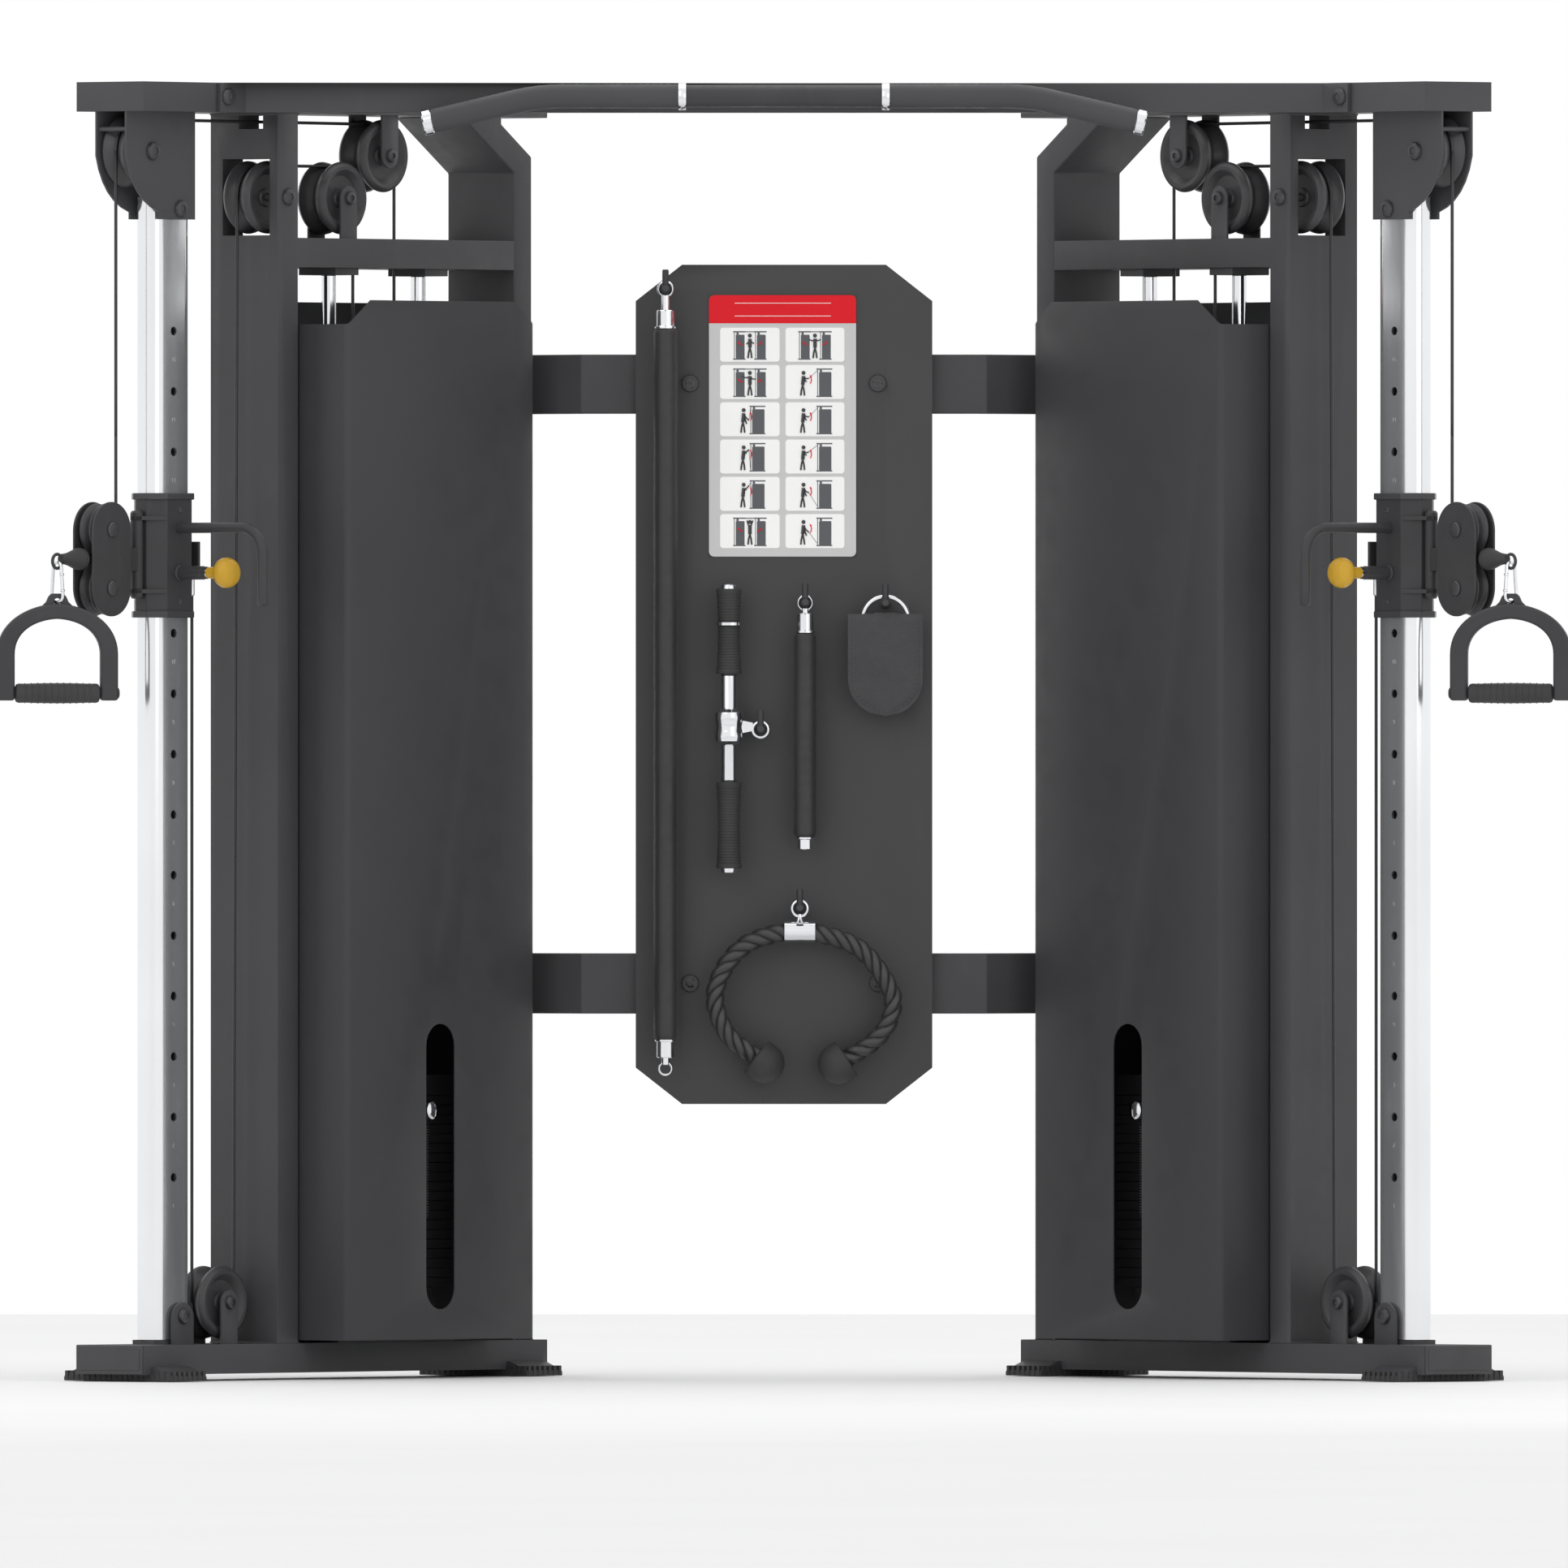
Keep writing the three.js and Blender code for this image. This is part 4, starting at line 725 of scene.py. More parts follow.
def make_handle(t):
    """The D-handle hangs in its own frame: its bow lies across the view, turned from the tower's axis."""
    turned = t.matrix @ Matrix.Translation((0, EYE_Y, 0)) @ Matrix.Rotation(HANDLE_TURN, 4, "Z")

    def piece(bm, name, material, replaces=(), **look):
        t.piece(bm, name, material, "d_handle", replaces, matrix=turned, **look)

    h = HANDLE
    shoulder = 1230

    def arch(half, top, low_pull, side_pull):
        """The bow's edge from its right leg over the top to its left leg, as (x, z) pairs."""
        corners = [Vector(p) for p in ((half, shoulder), (half, shoulder + low_pull), (side_pull, top - 2), (0, top))]
        quarter = [bezier(corners, i / 16) for i in range(17)]
        right = [(half, h["leg_low"]), *[(p.x, p.y) for p in quarter]]
        return right + [(-x, z) for x, z in reversed(right[:-1])]

    outer = arch(h["outer"], h["top"], 55, 50)
    inner = arch(h["inner"], h["inner_top"], 38, 40)[::-1]
    bow = bmesh.new()
    add_prism(bow, "y", outer + inner, -11, 11)
    piece(bow, "handle_bow", "satin", ["d_handle"], bevel=4.5, smooth=50)

    lug = bmesh.new()
    lug_outline = [(-27, 1300), (27, 1300), (25, 1313), (19, 1319), (15, 1328), (10, 1333), (-10, 1333), (-15, 1328),
                   (-19, 1319), (-25, 1313)]
    add_prism(lug, "y", lug_outline, -5, 5)
    tool = bmesh.new()
    add_rod(tool, "y", (0, 0, 1319), 6.2, -12, 12, 0.1, 24)
    piece(boolean_cut(lug, tool), "handle_lug", "satin", bevel=1.2)

    grip = bmesh.new()
    z, r, ends = h["grip_z"], h["grip_r"], h["inner"] - 1
    profile = [(0, -ends), (11, -ends), (r - 1.5, -ends + 2), (r, -ends + 6)]
    for k in range(1, 12):
        a = -ends + 6 + (2 * ends - 12) * k / 12
        swell = r + 1.6 * math.cos(math.pi * a / (2 * ends))
        profile += [(swell - 0.9, a - 1.4), (swell, a - 0.4), (swell, a + 0.4), (swell - 0.9, a + 1.4)]
    profile += [(r, ends - 6), (r - 1.5, ends - 2), (11, ends), (0, ends)]
    add_turned(grip, "x", (0, 0, z), profile, 40)
    piece(grip, "handle_grip", "rubber")
    caps = bmesh.new()
    for side in (-1, 1):
        profile = [(0, 0), (9, 0), (9, 1.5), (6, 3), (0, 3)]
        add_turned(caps, "x", (0, 0, z), [(r, side * (h["outer"] + out)) for r, out in profile], 24)
    piece(caps, "handle_caps", "bolt")

    clip = bmesh.new()
    top = [(a, 0, b) for a, b in arc((0, 1377), 8.5, 0, 180, 9)]
    low = [(-12 * math.cos(math.radians(a)), 0, 1329 - 11 * math.sin(math.radians(a))) for a in range(0, 181, 20)]
    left = [(-8.5 - 3.5 * k / 5, 0, 1377 - 48 * k / 5) for k in range(1, 5)]
    right = [(12 - 3.5 * k / 5, 0, 1329 + 48 * k / 5) for k in range(1, 5)]
    sweep(clip, [*top, *left, *low, *right], 3, 12, closed=True)
    for z0, z1, x in ((1336, 1340, 11.4), (1363, 1367, 9.5)):
        add_turned(clip, "z", (x, 0, 0), [(3.2, z0), (4.2, z0 + 0.8), (4.2, z1 - 0.8), (3.2, z1)], 16)
    clip.transform(Matrix.Rotation(math.radians(-45), 4, "Z"))
    piece(clip, "carabiner", "chrome")


def cable_arc(centre, start, end, radius=PULLEY["cable"]):
    """The cable's middle line round a pulley, between two angles."""
    x, y, z = centre
    steps = max(8, round(abs(end - start) / 8))
    return [(x, a, b) for a, b in arc((y, z), radius, start, end, steps)]


def make_cable(t):
    """The steel cable, in stretches: a stretch on one body rides on it, and a stretch between two bodies is baked in
    place on no body.
    """
    small = SMALL_PULLEY["cable"]
    upper = (0, BLOCK["y"], BLOCK["z"] + BLOCK["spacing"] / 2)

    def stretch(name, points, body="frame", towards=None, ends=None, replaces=()):
        bm = bmesh.new()
        sweep(bm, points, CABLE_R, 12)
        if towards is None:
            t.piece(bm, name, "cord", body, replaces)
            return
        obj = place_mesh(bm, f"{t.side}_{name}", t.matrix, "cord")
        t.body(body)
        t.body(towards)
        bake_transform(obj)

    top = cable_arc(AXLES["top_pulley"], 180, 90)
    idler_1 = cable_arc(AXLES["idler_1"], 90, 0)
    over = [*top, *straight(top[-1], idler_1[0])[1:], *idler_1]
    stretch("cable_over_top", over, replaces=["cable"])

    idler_2 = cable_arc(AXLES["idler_2"], 0, 90)
    window = cable_arc(AXLES["window_pulley"], 90, 180)
    base = cable_arc(AXLES["base_pulley"], 0, -180)
    across, down = straight(idler_2[-1], window[0])[1:], straight(window[-1], base[0], 80)[1:]
    stretch("cable_through_window", [*idler_2, *across, *window, *down, *base])

    front = top[0]
    split = (0, front[1], 1600)
    stretch("cable_front", [*straight(front, split), split], "frame", "carriage", (front, split))
    low = (0, BLOCK["y"] + small, upper[2])
    stretch("cable_to_block", [*straight(split, low, 12), low], "carriage", "swivel", (split, low))
    block_wrap = cable_arc(upper, 0, -100, small)
    stretch("cable_round_block", [*block_wrap, (0, BLOCK["y"] - BLOCK["half"] - 2, 1395.5)], "swivel")

    loop = cable_arc(AXLES["stack_pulley"], 0, -180)
    stretch("cable_loop", loop, "stack")
    for name, start, end in (("cable_stack_rear", idler_1[-1], loop[0]), ("cable_stack_front", idler_2[0], loop[-1])):
        stretch(name, [*straight(start, end), end], "frame", "stack", (start, end))

    anchor = (0, ANCHOR["y"], ANCHOR["z"] - 0.3)
    stretch("cable_to_anchor", [*straight(base[-1], anchor), anchor], "frame", "carriage", (base[-1], anchor))
    fitting = bmesh.new()
    profile = [(2.8, 1330), (4.6, 1332), (4.6, 1372), (6.5, 1374), (6.5, 1385), (0, 1385)]
    add_turned(fitting, "z", (0, ANCHOR["y"], 0), profile, 20)
    t.piece(fitting, "cable_fitting", "chrome", "carriage")


# ------ tower: frame details
def make_feet(t):
    """Ribbed rubber treads under the foot plates."""
    bm = bmesh.new()
    for y0, y1 in ((21, 110), (949, 1041)):
        add_box(bm, -120.8, 120.8, y0 - 0.8, y1 + 0.8, 0.2, 7)
        for i in range(20):
            x = -114 + 12 * i
            add_box(bm, x - 3.4, x + 3.4, y0 - 1.8, y1 + 1.8, 0.2, 17)
        for i in range(7):
            y = y0 + 6 + (y1 - y0 - 12) * i / 6
            add_box(bm, -121.8, 121.8, y - 3.4, y + 3.4, 0.2, 17)
    t.piece(bm, "foot_treads", "rubber", bevel=0.6)


def make_end_caps(t):
    """Moulded caps in the open ends of the rails and of the cross tube."""
    bm = bmesh.new()
    for y, direction, z0, z1 in ((0, -1, 11, 61), (1055, 1, 11, 61), (1055, 1, 2150, 2200)):
        for grow, out in ((-1, 2.5), (-7, 3.6)):
            a, b = sorted((y - direction * 1, y + direction * out))
            add_box(bm, -75 - grow, 75 + grow, a, b, z0 - grow, z1 + grow)
    t.piece(bm, "rail_caps", "nylon", bevel=1.0)


def make_weld_beads(t):
    """Weld beads where the posts and cheek plates meet the rails."""
    bm = bmesh.new()
    for y, z in ((401.5, 61.8), (347.5, 61.8), (401.5, 2149.2), (347.5, 2149.2), (968.5, 61.8), (1015.5, 61.8)):
        end = (75, y, z)
        points = straight((-75, y, z), end, 3.2) + [end]
        sweep(bm, points, [1.9 + 0.7 * abs(math.sin(i * 1.3)) for i in range(len(points))], 8)
    t.piece(bm, "weld_beads", "powder")


# ------ centre pieces
def centre_piece(bm, name, material, body="frame", replaces=(), **look):
    return finish_mesh(bm, name, CENTRE_MATRIX, material, body, replaces, **look)


def make_pull_up_bar():
    y, z = 85, 2176.5
    straight_end, tip = 415, (613, 2131)
    middle = bmesh.new()
    add_rod(middle, "x", (0, y, z), 18.5, -168, 168, 1)
    centre_piece(middle, "pull_up_bar_middle", "satin", "frame", ["pull_up_bar"])
    rings, caps, grips, stubs = (bmesh.new() for _ in range(4))
    slope = Vector((tip[0] - straight_end, 0, tip[1] - z)).normalized()
    for side in (-1, 1):
        profile = [(18, 166), (22.4, 166), (23.4, 167.5), (23.4, 177.5), (22.4, 179), (18, 179)]
        add_turned(rings, "x", (0, y, z), [(r, side * a) for r, a in profile], 48)
        corner = Vector((straight_end, y, z))
        bend = [bezier([Vector((375, y, z)), corner, corner + slope * 40], i / 8) for i in range(9)]
        start = Vector((178, y, z))
        grip_end = Vector((tip[0], y, tip[1])) - slope * 17
        line = [start, *straight(start, bend[0], 6)[1:], *bend, *straight(bend[-1], grip_end, 6)[1:], grip_end]
        line = [Vector((side * p.x, p.y, p.z)) for p in line]
        radii = [20.6 if i % 2 else 20.1 for i in range(len(line))]
        radii[0] = radii[-1] = 19.4
        sweep(grips, line, radii, 32)
        end = Vector((side * tip[0], y, tip[1]))
        direction = Vector((side * slope.x, 0, slope.z))
        cap = [end - direction * 17, end - direction * 15.5, end - direction * 2.5, end - direction * 0.6, end]
        sweep(caps, cap, [20, 21.6, 21.6, 20, 17], 32)
        x = side * 300
        add_rod(stubs, "y", (x, 0, z), 12, y, 142, 1)
        add_box(stubs, x - 28, x + 28, 135, 142.2, z - 22, z + 22)
        for dx in (-19, 19):
            profile = [(0, 135), (7, 135), (7, 131.5), (5.5, 129.6), (3, 129), (2.6, 131.5), (0, 131.5)]
            add_turned(stubs, "y", (x + dx, 0, z), profile, 20)
    centre_piece(rings, "pull_up_bar_rings", "chrome")
    centre_piece(caps, "pull_up_bar_caps", "chrome")
    centre_piece(grips, "pull_up_bar_grips", "powder", smooth=60, slot="rubber")
    centre_piece(stubs, "pull_up_bar_stubs", "powder", bevel=0.8)


# Where the pegs stand: (x, z) of each, named after what hangs there.
PEGS = {
    "long_bar": (-202, 1856),
    "rotating_bar": (-40, 1105),
    "short_bar": (36, 1321),
    "ankle_strap": (173, 1320),
    "tricep_rope": (27, 800),
}


def make_board_details():
    hooks = bmesh.new()
    for x, z in PEGS.values():
        bend = arc((HANG_Y - 14, z + 10), 10, 270, 180, 8)
        path = [(x, BOARD_FRONT + 1, z), (x, HANG_Y, z), (x, HANG_Y - 10, z), *[(x, a, b) for a, b in bend]]
        path += [(x, HANG_Y - 24, z + 18), (x, HANG_Y - 24, z + 30), (x, HANG_Y - 24, z + 32)]
        sweep(hooks, path, [5.6] * (len(path) - 1) + [4.2], 20)
        add_turned(hooks, "y", (x, BOARD_FRONT, z), [(0, 0), (11, 0), (11, -1.6), (6, -3), (0, -3)], 28)
    centre_piece(hooks, "board_hooks", "satin")
    bolts = bmesh.new()
    for x in (-160, 160):
        for z in (671, 1694.5):
            profile = [(0, 0), (15, 0), (15, -1.2), (13, -4.6), (8, -6), (4.6, -6), (4.2, -2.6), (0, -2.2)]
            add_turned(bolts, "y", (x, BOARD_FRONT, z), profile, 32)
    centre_piece(bolts, "board_bolts", "bolt")


LABEL = {"x0": -128, "x1": 123, "z0": 1399, "z1": 1845, "header": 1797, "corner": 9}
CELLS = {"columns": ((-109, -7.5), (2.6, 103)), "top": 1789.5, "pitch": 63.6, "high": 58, "rows": 6}


def plaque(bm, outline, front, back):
    """A flat plate facing the front, from (x, z) pairs."""
    add_prism(bm, "y", outline, front, back)


def rounded(x0, x1, z0, z1, radius, steps=6):
    a0, a1, b0, b1 = x0 + radius, x1 - radius, z0 + radius, z1 - radius
    corners = ((a1, b1, 0), (a0, b1, 90), (a0, b0, 180), (a1, b0, 270))
    return [p for a, b, turn in corners for p in arc((a, b), radius, turn, turn + 90, steps)]


def stroke(bm, points, y, width=2.2):
    sweep(bm, [(x, y, z) for x, z in points], width / 2, 6)


def make_label():
    """The exercise guide: a header without words and cells of plain pictograms."""
    face = BOARD_FRONT - 2.2
    l = LABEL
    panel = bmesh.new()
    c = l["corner"]
    plaque(panel, rounded(l["x0"], l["x1"], l["z0"], l["z1"], c, 8), face, BOARD_FRONT - 0.2)
    centre_piece(panel, "guide_panel", "label_grey")
    header = bmesh.new()
    header_outline = [
        *arc((l["x1"] - c, l["z1"] - c), c, 0, 90, 8), *arc((l["x0"] + c, l["z1"] - c), c, 90, 180, 8),
        (l["x0"], l["header"]), (l["x1"], l["header"]),
    ]
    plaque(header, header_outline, face - 0.4, face)
    centre_piece(header, "guide_header", "label_red")
    cells, ink, dark, red = (bmesh.new() for _ in range(4))
    for z in (1809, 1831):
        plaque(cells, [(-84, z), (80, z), (80, z + 0.9), (-84, z + 0.9)], face - 0.7, face - 0.2)
    for row in range(CELLS["rows"]):
        top = CELLS["top"] - row * CELLS["pitch"]
        low = top - CELLS["high"]
        for column, (x0, x1) in enumerate(CELLS["columns"]):
            plaque(cells, rounded(x0, x1, low, top, 5), face - 0.5, face)
            draw_pictogram(ink, dark, red, x0, x1, low, top, face - 0.9, row * 2 + column)
    centre_piece(cells, "guide_cells", "label_white")
    centre_piece(ink, "guide_towers", "ink")
    centre_piece(dark, "guide_figures", "nylon", slot="satin_black")
    centre_piece(red, "guide_arcs", "label_red")


def draw_figure(dark, x, low, y, lean, hands):
    """A plain standing figure of thick strokes; hands are (x, z) offsets from its shoulders."""
    hip, neck = (x, low + 24), (x + lean, low + 39)
    stroke(dark, [hip, neck], y, 6.4)
    for foot in (-1, 1):
        stroke(dark, [hip, (x + foot * 2.2, low + 15), (x + foot * 3.2, low + 6)], y, 3)
    for dx, dz in hands:
        elbow = (neck[0] + dx * 0.5, neck[1] - 3 + dz * 0.4)
        stroke(dark, [(neck[0], neck[1] - 1), elbow, (neck[0] + dx, neck[1] + dz)], y, 2.4)
    add_turned(dark, "y", (neck[0], y, neck[1] + 5.5), [(0, -0.4), (3.4, -0.4), (3.4, 0.4), (0, 0.4)], 16)


def draw_tower(ink, x0, x1, low, top, y):
    """A small tower: feet, body, top bar and a thin column on its left."""
    plaque(ink, rounded(x0 + 3, x1, low + 5, top - 12, 1.5, 3), y, y + 0.3)
    for z in (low + 3.4, top - 8):
        plaque(ink, [(x0 - 1.5, z), (x1 + 1.5, z), (x1 + 1.5, z + 2), (x0 - 1.5, z + 2)], y - 0.1, y + 0.3)
    plaque(ink, [(x0, low + 5), (x0 + 1.2, low + 5), (x0 + 1.2, top - 8), (x0, top - 8)], y, y + 0.3)
    add_turned(ink, "y", (x0 + 6, y, top - 10), [(0, -0.2), (2.2, -0.2), (2.2, 0.2), (0, 0.2)], 12)


def draw_arc(red, centre, radius, start, end, y):
    """A bowed arrow."""
    curve = arc(centre, radius, start, end, 10)
    stroke(red, curve, y, 1.6)
    (ax, az), (bx, bz) = curve[-2:]
    size = 3.2 / math.dist(curve[-2], curve[-1])
    dx, dz = (bx - ax) * size, (bz - az) * size
    plaque(red, [(bx - dz * 0.6, bz + dx * 0.6), (bx + dz * 0.6, bz - dx * 0.6), (bx + dx, bz + dz)], y - 0.3, y + 0.3)


def draw_pictogram(ink, dark, red, x0, x1, low, top, y, number):
    """Either both towers with a figure between them or one tower with a figure beside it, and the hand's path."""
    middle = (x0 + x1) / 2
    if number in (0, 1, 2, 10):
        draw_tower(ink, middle - 27, middle - 9, low, top, y)
        draw_tower(ink, middle + 9, middle + 27, low, top, y)
        stroke(ink, [(middle - 9, top - 7), (middle + 9, top - 7)], y, 1.4)
        reach = {0: [(-6, -9), (7, -8)], 1: [(-10, -1), (10, -1)], 2: [(-14, 0), (10, -5)], 10: [(-5, 8), (5, 8)]}
        draw_figure(dark, middle, low, y - 0.3, 0, reach[number])
        for side in (-1, 1):
            draw_arc(red, (middle + side * 12, low + 38), 9, 270, 270 + side * 50, y - 0.5)
        return
    tower_x = middle + (1 if number % 2 == 0 else 4)
    draw_tower(ink, tower_x, tower_x + 24, low, top, y)
    figure_x = middle - (12 if number % 2 == 0 else 21)
    lifts = {3: -4, 4: -12, 5: -6, 6: 2, 7: -2, 8: 4, 9: -8, 11: -12}
    lift = lifts.get(number, 0)
    draw_figure(dark, figure_x, low, y - 0.3, 1.5, [(9, lift), (5, lift - 6)])
    anchor_z = low + 8 if number in (9, 11, 6) else top - 10
    stroke(ink, [(figure_x + 10.5, low + 39 + lift), (tower_x, anchor_z)], y, 0.7)
    draw_arc(red, (figure_x + 3, low + 33), 12, -35, 25, y - 0.5)


# ------ accessories on the board
def add_ring(bm, x, z, middle, radial, width, count):
    """A ring across y of oval wire: middle is the ring's radius, radial and width are the wire's half sizes."""
    angles = [2 * math.pi * k / count for k in range(count)]
    profile = [(middle + radial * math.cos(a), HANG_Y + width * math.sin(a)) for a in angles]
    add_turned(bm, "y", (x, 0, z), profile, 36)


def add_eye(bm, x, z, outer):
    """The ring of an accessory, with a bore of radius 8, resting on the peg at (x, z)."""
    radial = (outer - 8) / 2
    add_ring(bm, x, z - 1.2, outer - radial, radial, 5, 12)


def foam_sleeve(name, body, x, low, high, radius):
    """A foam tube with soft pinched ends and a slightly uneven skin."""
    bm = bmesh.new()
    profile = [(radius * 0.72, low), (radius * 0.9, low + 0.6), (radius * 0.985, low + 4)]
    for i in range(61):
        uneven = 0.25 * math.sin(i * 1.7) + 0.2 * math.sin(i * 0.6)
        profile.append((radius + uneven, low + 9 + (high - low - 18) * i / 60))
    profile += [(radius * 0.985, high - 4), (radius * 0.9, high - 0.6), (radius * 0.72, high)]
    add_turned(bm, "z", (x, HANG_Y, 0), profile, 48)
    obj = centre_piece(bm, name, "foam", body, smooth=60)


def add_ferrule(bm, x, low, high, radius, collar_low):
    """A chrome end fitting: a straight sleeve with a rolled collar at its foam end."""
    centre = (x, HANG_Y, 0)
    add_rod(bm, "z", centre, radius, low, high, 1.2, 40)
    a = low if collar_low else high - 5
    b = a + 5
    inside, outside = radius - 2, radius + 3
    profile = [(inside, a), (outside - 1, a), (outside, a + 1), (outside, b - 1), (outside - 1, b), (inside, b)]
    add_turned(bm, "z", centre, profile, 40)


# Of each foam bar: its stem's radius and ends, its top and bottom ferrules' ends and radius, and the foam's radius.
FOAM_BARS = {
    "long_bar": ((7.5, 1816, 1845), (1787, 1819, 16), (544, 576, 16), 20.3),
    "short_bar": ((7, 1298, 1311), (1268, 1302, 15), (899, 921, 14), 19.8),
}


def make_foam_bars():
    for name, (stem, top, bottom, radius) in FOAM_BARS.items():
        x, z = PEGS[name]
        chrome = bmesh.new()
        add_eye(chrome, x, z, 15)
        add_rod(chrome, "z", (x, HANG_Y, 0), *stem)
        add_ferrule(chrome, x, *top, True)
        add_ferrule(chrome, x, *bottom, False)
        if name == "long_bar":
            add_rod(chrome, "z", (x, HANG_Y, 0), 7.5, 532, 546)
            add_ring(chrome, x, 526, 10.5, 2.5, 5, 10)
        centre_piece(chrome, f"{name}_fittings", "chrome", name, [name])
        foam_sleeve(f"{name}_foam", name, x, bottom[1], top[0], radius)


def make_rotating_bar():
    x = -94
    peg_x, peg_z = PEGS["rotating_bar"]
    chrome = bmesh.new()
    add_turned(chrome, "z", (x, HANG_Y, 0), [
        (0, 858), (10, 858), (13, 860), (14, 863), (14, 1076), (16, 1079), (19, 1080.5), (24.5, 1084), (26, 1092),
        (24.6, 1101), (23.4, 1108.5), (24.6, 1116), (26, 1125), (24.5, 1133), (19, 1136.5), (16, 1138), (14, 1141),
        (14, 1347), (13, 1350), (10, 1352), (0, 1352),
    ], 48)
    add_eye(chrome, peg_x, peg_z, 17)
    hub = 1108.5
    arm = [(x + 21, hub - 11), (peg_x - 13, hub - 7), (peg_x - 13, hub + 7), (x + 21, hub + 11)]
    add_prism(chrome, "y", arm, HANG_Y - 5, HANG_Y + 5)
    add_turned(chrome, "z", (x, HANG_Y, 0), [(22.2, 1281), (23.4, 1281.6), (23.4, 1286.4), (22.2, 1287)], 40)
    centre_piece(chrome, "rotating_bar_core", "chrome", "rotating_bar", ["rotating_bar"])
    grips = bmesh.new()
    for low, high in ((867, 1014), (1199, 1344)):
        rings = 28
        profile = [(13.6, low), (20.5, low), (21.8, low + 2), (21.8, low + 5)]
        for i in range(1, rings):
            k = i / rings
            waist = 21.2 - 2.4 * math.sin(math.pi * k)
            a = low + 5 + (high - low - 10) * k
            profile += [(waist - 0.7, a - 1.2), (waist, a - 0.4), (waist, a + 0.6)]
        profile += [(21.8, high - 5), (21.8, high - 2), (20.5, high), (13.6, high)]
        add_turned(grips, "z", (x, HANG_Y, 0), profile, 44)
    centre_piece(grips, "rotating_bar_grips", "rubber", "rotating_bar")


def make_ankle_strap():
    """A padded strap folded flat: crowned faces inside a bound edge, with stitching along it."""
    x, z = PEGS["ankle_strap"]
    half, top, low = 64, 1301, 1127
    bm = bmesh.new()
    columns, rows = 26, 34
    layers = {}
    for face in (-1, 1):
        for i in range(rows + 1):
            level = low + (top - low) * i / rows
            drop = max(0, low + half - level)
            reach = math.sqrt(max(0, half * half - drop * drop))
            for j in range(columns + 1):
                k = math.sin((-1 + 2 * j / columns) * math.pi / 2)
                rim = half * math.sqrt(max(0, 1 - k * k)) if drop else half
                edge = min(1, (1 - abs(k)) * reach / 16, (top - level) / 16 + 0.05)
                edge = min(edge, max(0, (level - (low + half - rim)) / 14))
                depth = 8.5 + 4.3 * math.sin(math.pi / 2 * max(0, edge))
                seam = 1.8 * math.exp(-((edge - 0.42) / 0.12) ** 2)
                layers[face, i, j] = bm.verts.new((x + reach * k, HANG_Y + face * (depth - seam), level))
    for face in (-1, 1):
        for i in range(rows):
            for j in range(columns):
                quad = [layers[face, i + a, j + b] for a, b in ((0, 0), (0, 1), (1, 1), (1, 0))]
                bm.faces.new(quad if face < 0 else quad[::-1])
    rim = [(0, j) for j in range(columns + 1)] + [(i, columns) for i in range(1, rows + 1)]
    rim += [(rows, j) for j in range(columns - 1, -1, -1)] + [(i, 0) for i in range(rows - 1, 0, -1)]
    for a, b in zip(rim, rim[1:] + rim[:1]):
        bm.faces.new((layers[-1, *a], layers[1, *a], layers[1, *b], layers[-1, *b]))
    bmesh.ops.remove_doubles(bm, verts=bm.verts, dist=0.05)
    strap = centre_piece(bm, "ankle_strap_pad", "webbing", "ankle_strap", ["ankle_strap"], smooth=80)

    stitches = bmesh.new()
    inset = 9
    line = [(x - half + inset, top - 6), *arc((x, low + half), half - inset, 180, 360, 40), (x + half - inset, top - 6)]
    for face in (-1, 1):
        y = HANG_Y + face * 11.2
        dense = [p for a, b in zip(line, line[1:]) for p in straight((a[0], y, a[1]), (b[0], y, b[1]), 4)]
        for a, b in list(zip(dense, dense[1:]))[::2]:
            sweep(stitches, [a, b], 0.6, 6)
    centre_piece(stitches, "ankle_strap_stitches", "ink", "ankle_strap", slot="webbing")

    ring = bmesh.new()
    radius, wire = 39, 4
    middle = z + 6.8 + wire - radius
    path = arc((x, middle), radius, 0, 180, 20)
    path += [(x + a, middle - b) for a, b in ((-radius, 4), (-34, 9), (0, 9), (34, 9), (radius, 4))]
    sweep(ring, [(a, HANG_Y, b) for a, b in path], wire, 14, closed=True)
    centre_piece(ring, "ankle_strap_ring", "chrome", "ankle_strap")
    tab = bmesh.new()
    add_box(tab, x - 20, x + 20, HANG_Y - 7, HANG_Y + 7, 1284, 1303)
    centre_piece(tab, "ankle_strap_tab", "webbing", "ankle_strap", bevel=3)


def spline(points, count):
    """Points on a smooth curve through the given ones."""
    points = [Vector(p) for p in points]
    padded = [points[0] * 2 - points[1], *points, points[-1] * 2 - points[-2]]
    result = []
    for i in range(len(points) - 1):
        p0, p1, p2, p3 = padded[i:i + 4]
        for k in range(count):
            s = k / count
            result.append(0.5 * (2 * p1 + (p2 - p0) * s + (2 * p0 - 5 * p1 + 4 * p2 - p3) * s ** 2
                                 + (3 * p1 - p0 - 3 * p2 + p3) * s ** 3))
    return [*result, points[-1]]


def add_rope(bm, path, radius, lay=74):
    """Three strands twisted round the path; lay is the length of one whole turn."""
    strand = radius * 0.54
    away = radius - strand
    travelled = 0
    normal = Vector((0, 1, 0))
    lines = [[], [], []]
    for i, p in enumerate(path):
        tangent = (path[min(i + 1, len(path) - 1)] - path[max(i - 1, 0)]).normalized()
        if i:
            travelled += (p - path[i - 1]).length
        normal = (normal - tangent * normal.dot(tangent)).normalized()
        side = tangent.cross(normal)
        for k, line in enumerate(lines):
            angle = 2 * math.pi * (travelled / lay + k / 3)
            line.append(p + (normal * math.cos(angle) + side * math.sin(angle)) * away)
    for line in lines:
        sweep(bm, line, strand, 12)


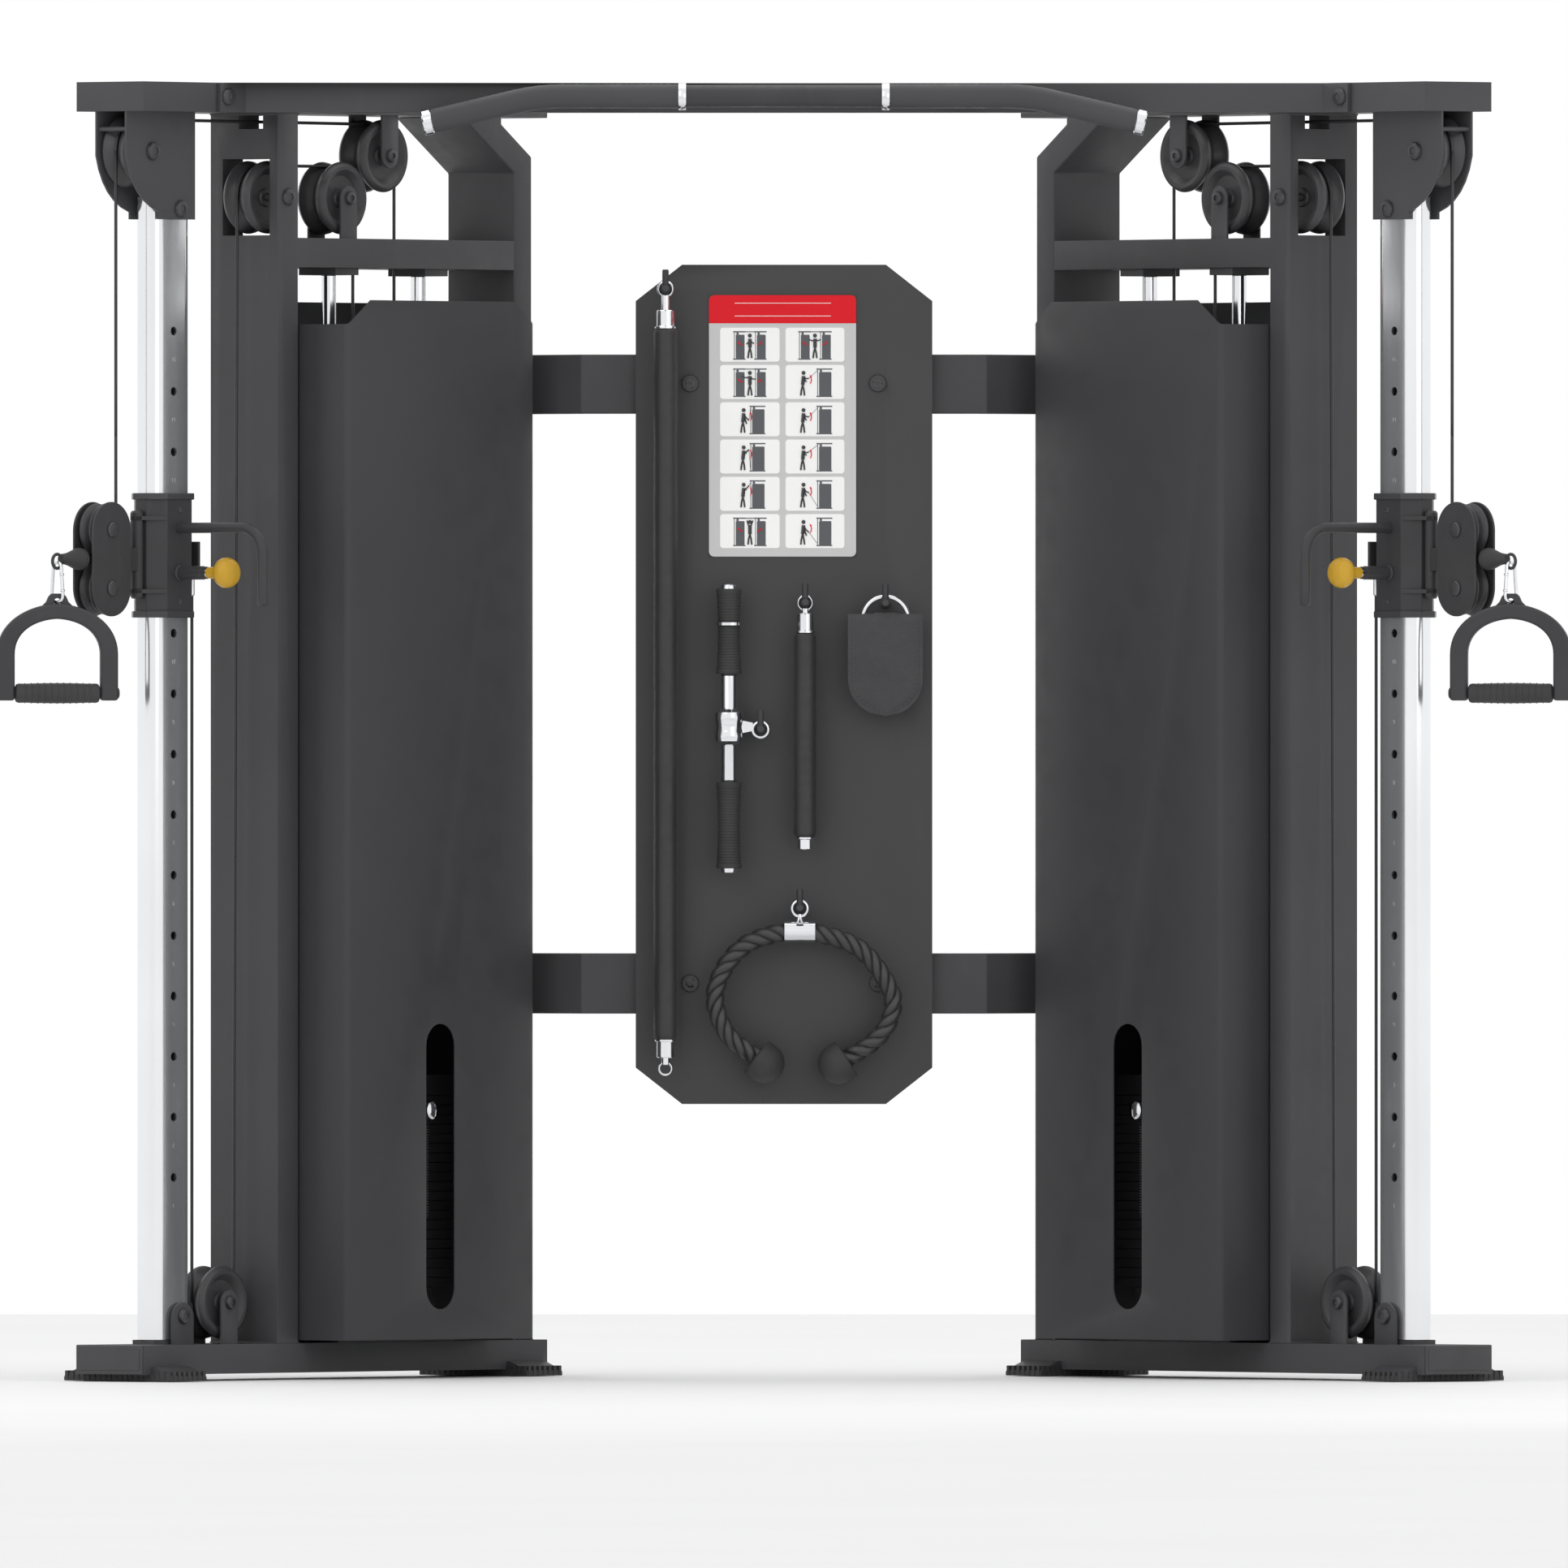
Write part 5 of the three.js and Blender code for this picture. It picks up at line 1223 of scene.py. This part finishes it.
def make_tricep_rope():
    x, z = PEGS["tricep_rope"]
    fittings = bmesh.new()
    add_eye(fittings, x, z, 17)
    add_turned(fittings, "z", (x, HANG_Y, 0), [(0, 772), (14, 775), (8, 778), (5.4, 783), (5, 789), (0, 789)], 28)
    add_turned(fittings, "x", (0, HANG_Y, 759.5), [
        (17.4, x - 27), (18.6, x - 26), (18.6, x - 12), (18.2, x), (18.6, x + 12), (18.6, x + 26), (17.4, x + 27),
    ], 40)
    centre_piece(fittings, "tricep_rope_tee", "chrome", "tricep_rope", ["tricep_rope"])
    sides = {
        "left": ([(13, 759.5), (-26, 753), (-68, 735), (-100, 700), (-117, 658), (-113, 618), (-92, 579), (-60, 554),
                  (-41, 541)], (0.788, -0.615)),
        "right": ([(41, 759.5), (90, 748), (130, 729), (161, 695), (184, 653), (184, 621), (171, 592), (148, 568),
                   (121, 551), (100, 539)], (-0.833, -0.556)),
    }
    for name, (knots, (dx, dz)) in sides.items():
        path = spline([(a, HANG_Y, b) for a, b in knots], 8)
        rope = bmesh.new()
        add_rope(rope, path, 17)
        obj = centre_piece(rope, f"tricep_rope_{name}", "rope", "tricep_rope", smooth=60)
        ball = bmesh.new()
        turn = Vector((0, 0, 1)).rotation_difference(Vector((dx, 0, dz))).to_matrix().to_4x4()
        profile = [(0, -4), (16, -4), (18, -2), (32.5, -2), (34, -0.6), (34.4, 1)]
        profile += [*arc((0, 15), 35, 0, 81, 9), (0, 50)]
        add_turned(ball, "z", (0, 0, 0), profile, 44)
        flat_centre = path[-1] - Vector((dx, 0, dz)) * 6
        ball.transform(Matrix.Translation(flat_centre) @ turn)
        ball_obj = centre_piece(ball, f"tricep_rope_{name}_ball", "rubber", "tricep_rope", smooth=40)


# ------ frame parts that keep the CAD's shape
def keep_node(name, material, bevel=3.0):
    """A CAD node stays as it is: it gets its material and softened edges."""
    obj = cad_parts[name]
    mesh = obj.data
    mesh.materials.clear()
    mesh.materials.append(MATERIALS[material])
    mesh.polygons.foreach_set("material_index", [0] * len(mesh.polygons))
    mesh.polygons.foreach_set("use_smooth", [True] * len(mesh.polygons))
    mesh.normals_split_custom_set([(0, 0, 0)] * len(mesh.loops))
    obj.modifiers.new("weld", "WELD").merge_threshold = 1e-5
    flat = obj.modifiers.new("flat", "DECIMATE")
    flat.decimate_type = "DISSOLVE"
    flat.angle_limit = math.radians(0.6)
    add_bevel(obj, bevel, 3, 38, True)


for side in SIDES:
    tower = Tower(side)
    for make in (make_column, make_hole_numbers, make_guide_rods, make_stack, make_pulleys, make_bolt_heads,
                 make_carriage, make_block, make_handle, make_cable, make_feet, make_end_caps, make_weld_beads):
        make(tower)
    for node in ("base_rail", "top_rail", "front_upright", "rear_upright"):
        keep_node(f"{side}_{node}", "powder")
    for node in ("inner_cover", "outer_cover"):
        keep_node(f"{side}_{node}", "cover", 1.0)

for node in ("crossbeam", "upper_link_beam", "lower_link_beam"):
    keep_node(node, "powder")
keep_node("accessory_board", "board", 1.5)
for make in (make_pull_up_bar, make_board_details, make_label, make_foam_bars, make_rotating_bar,
             make_ankle_strap, make_tricep_rope):
    make()
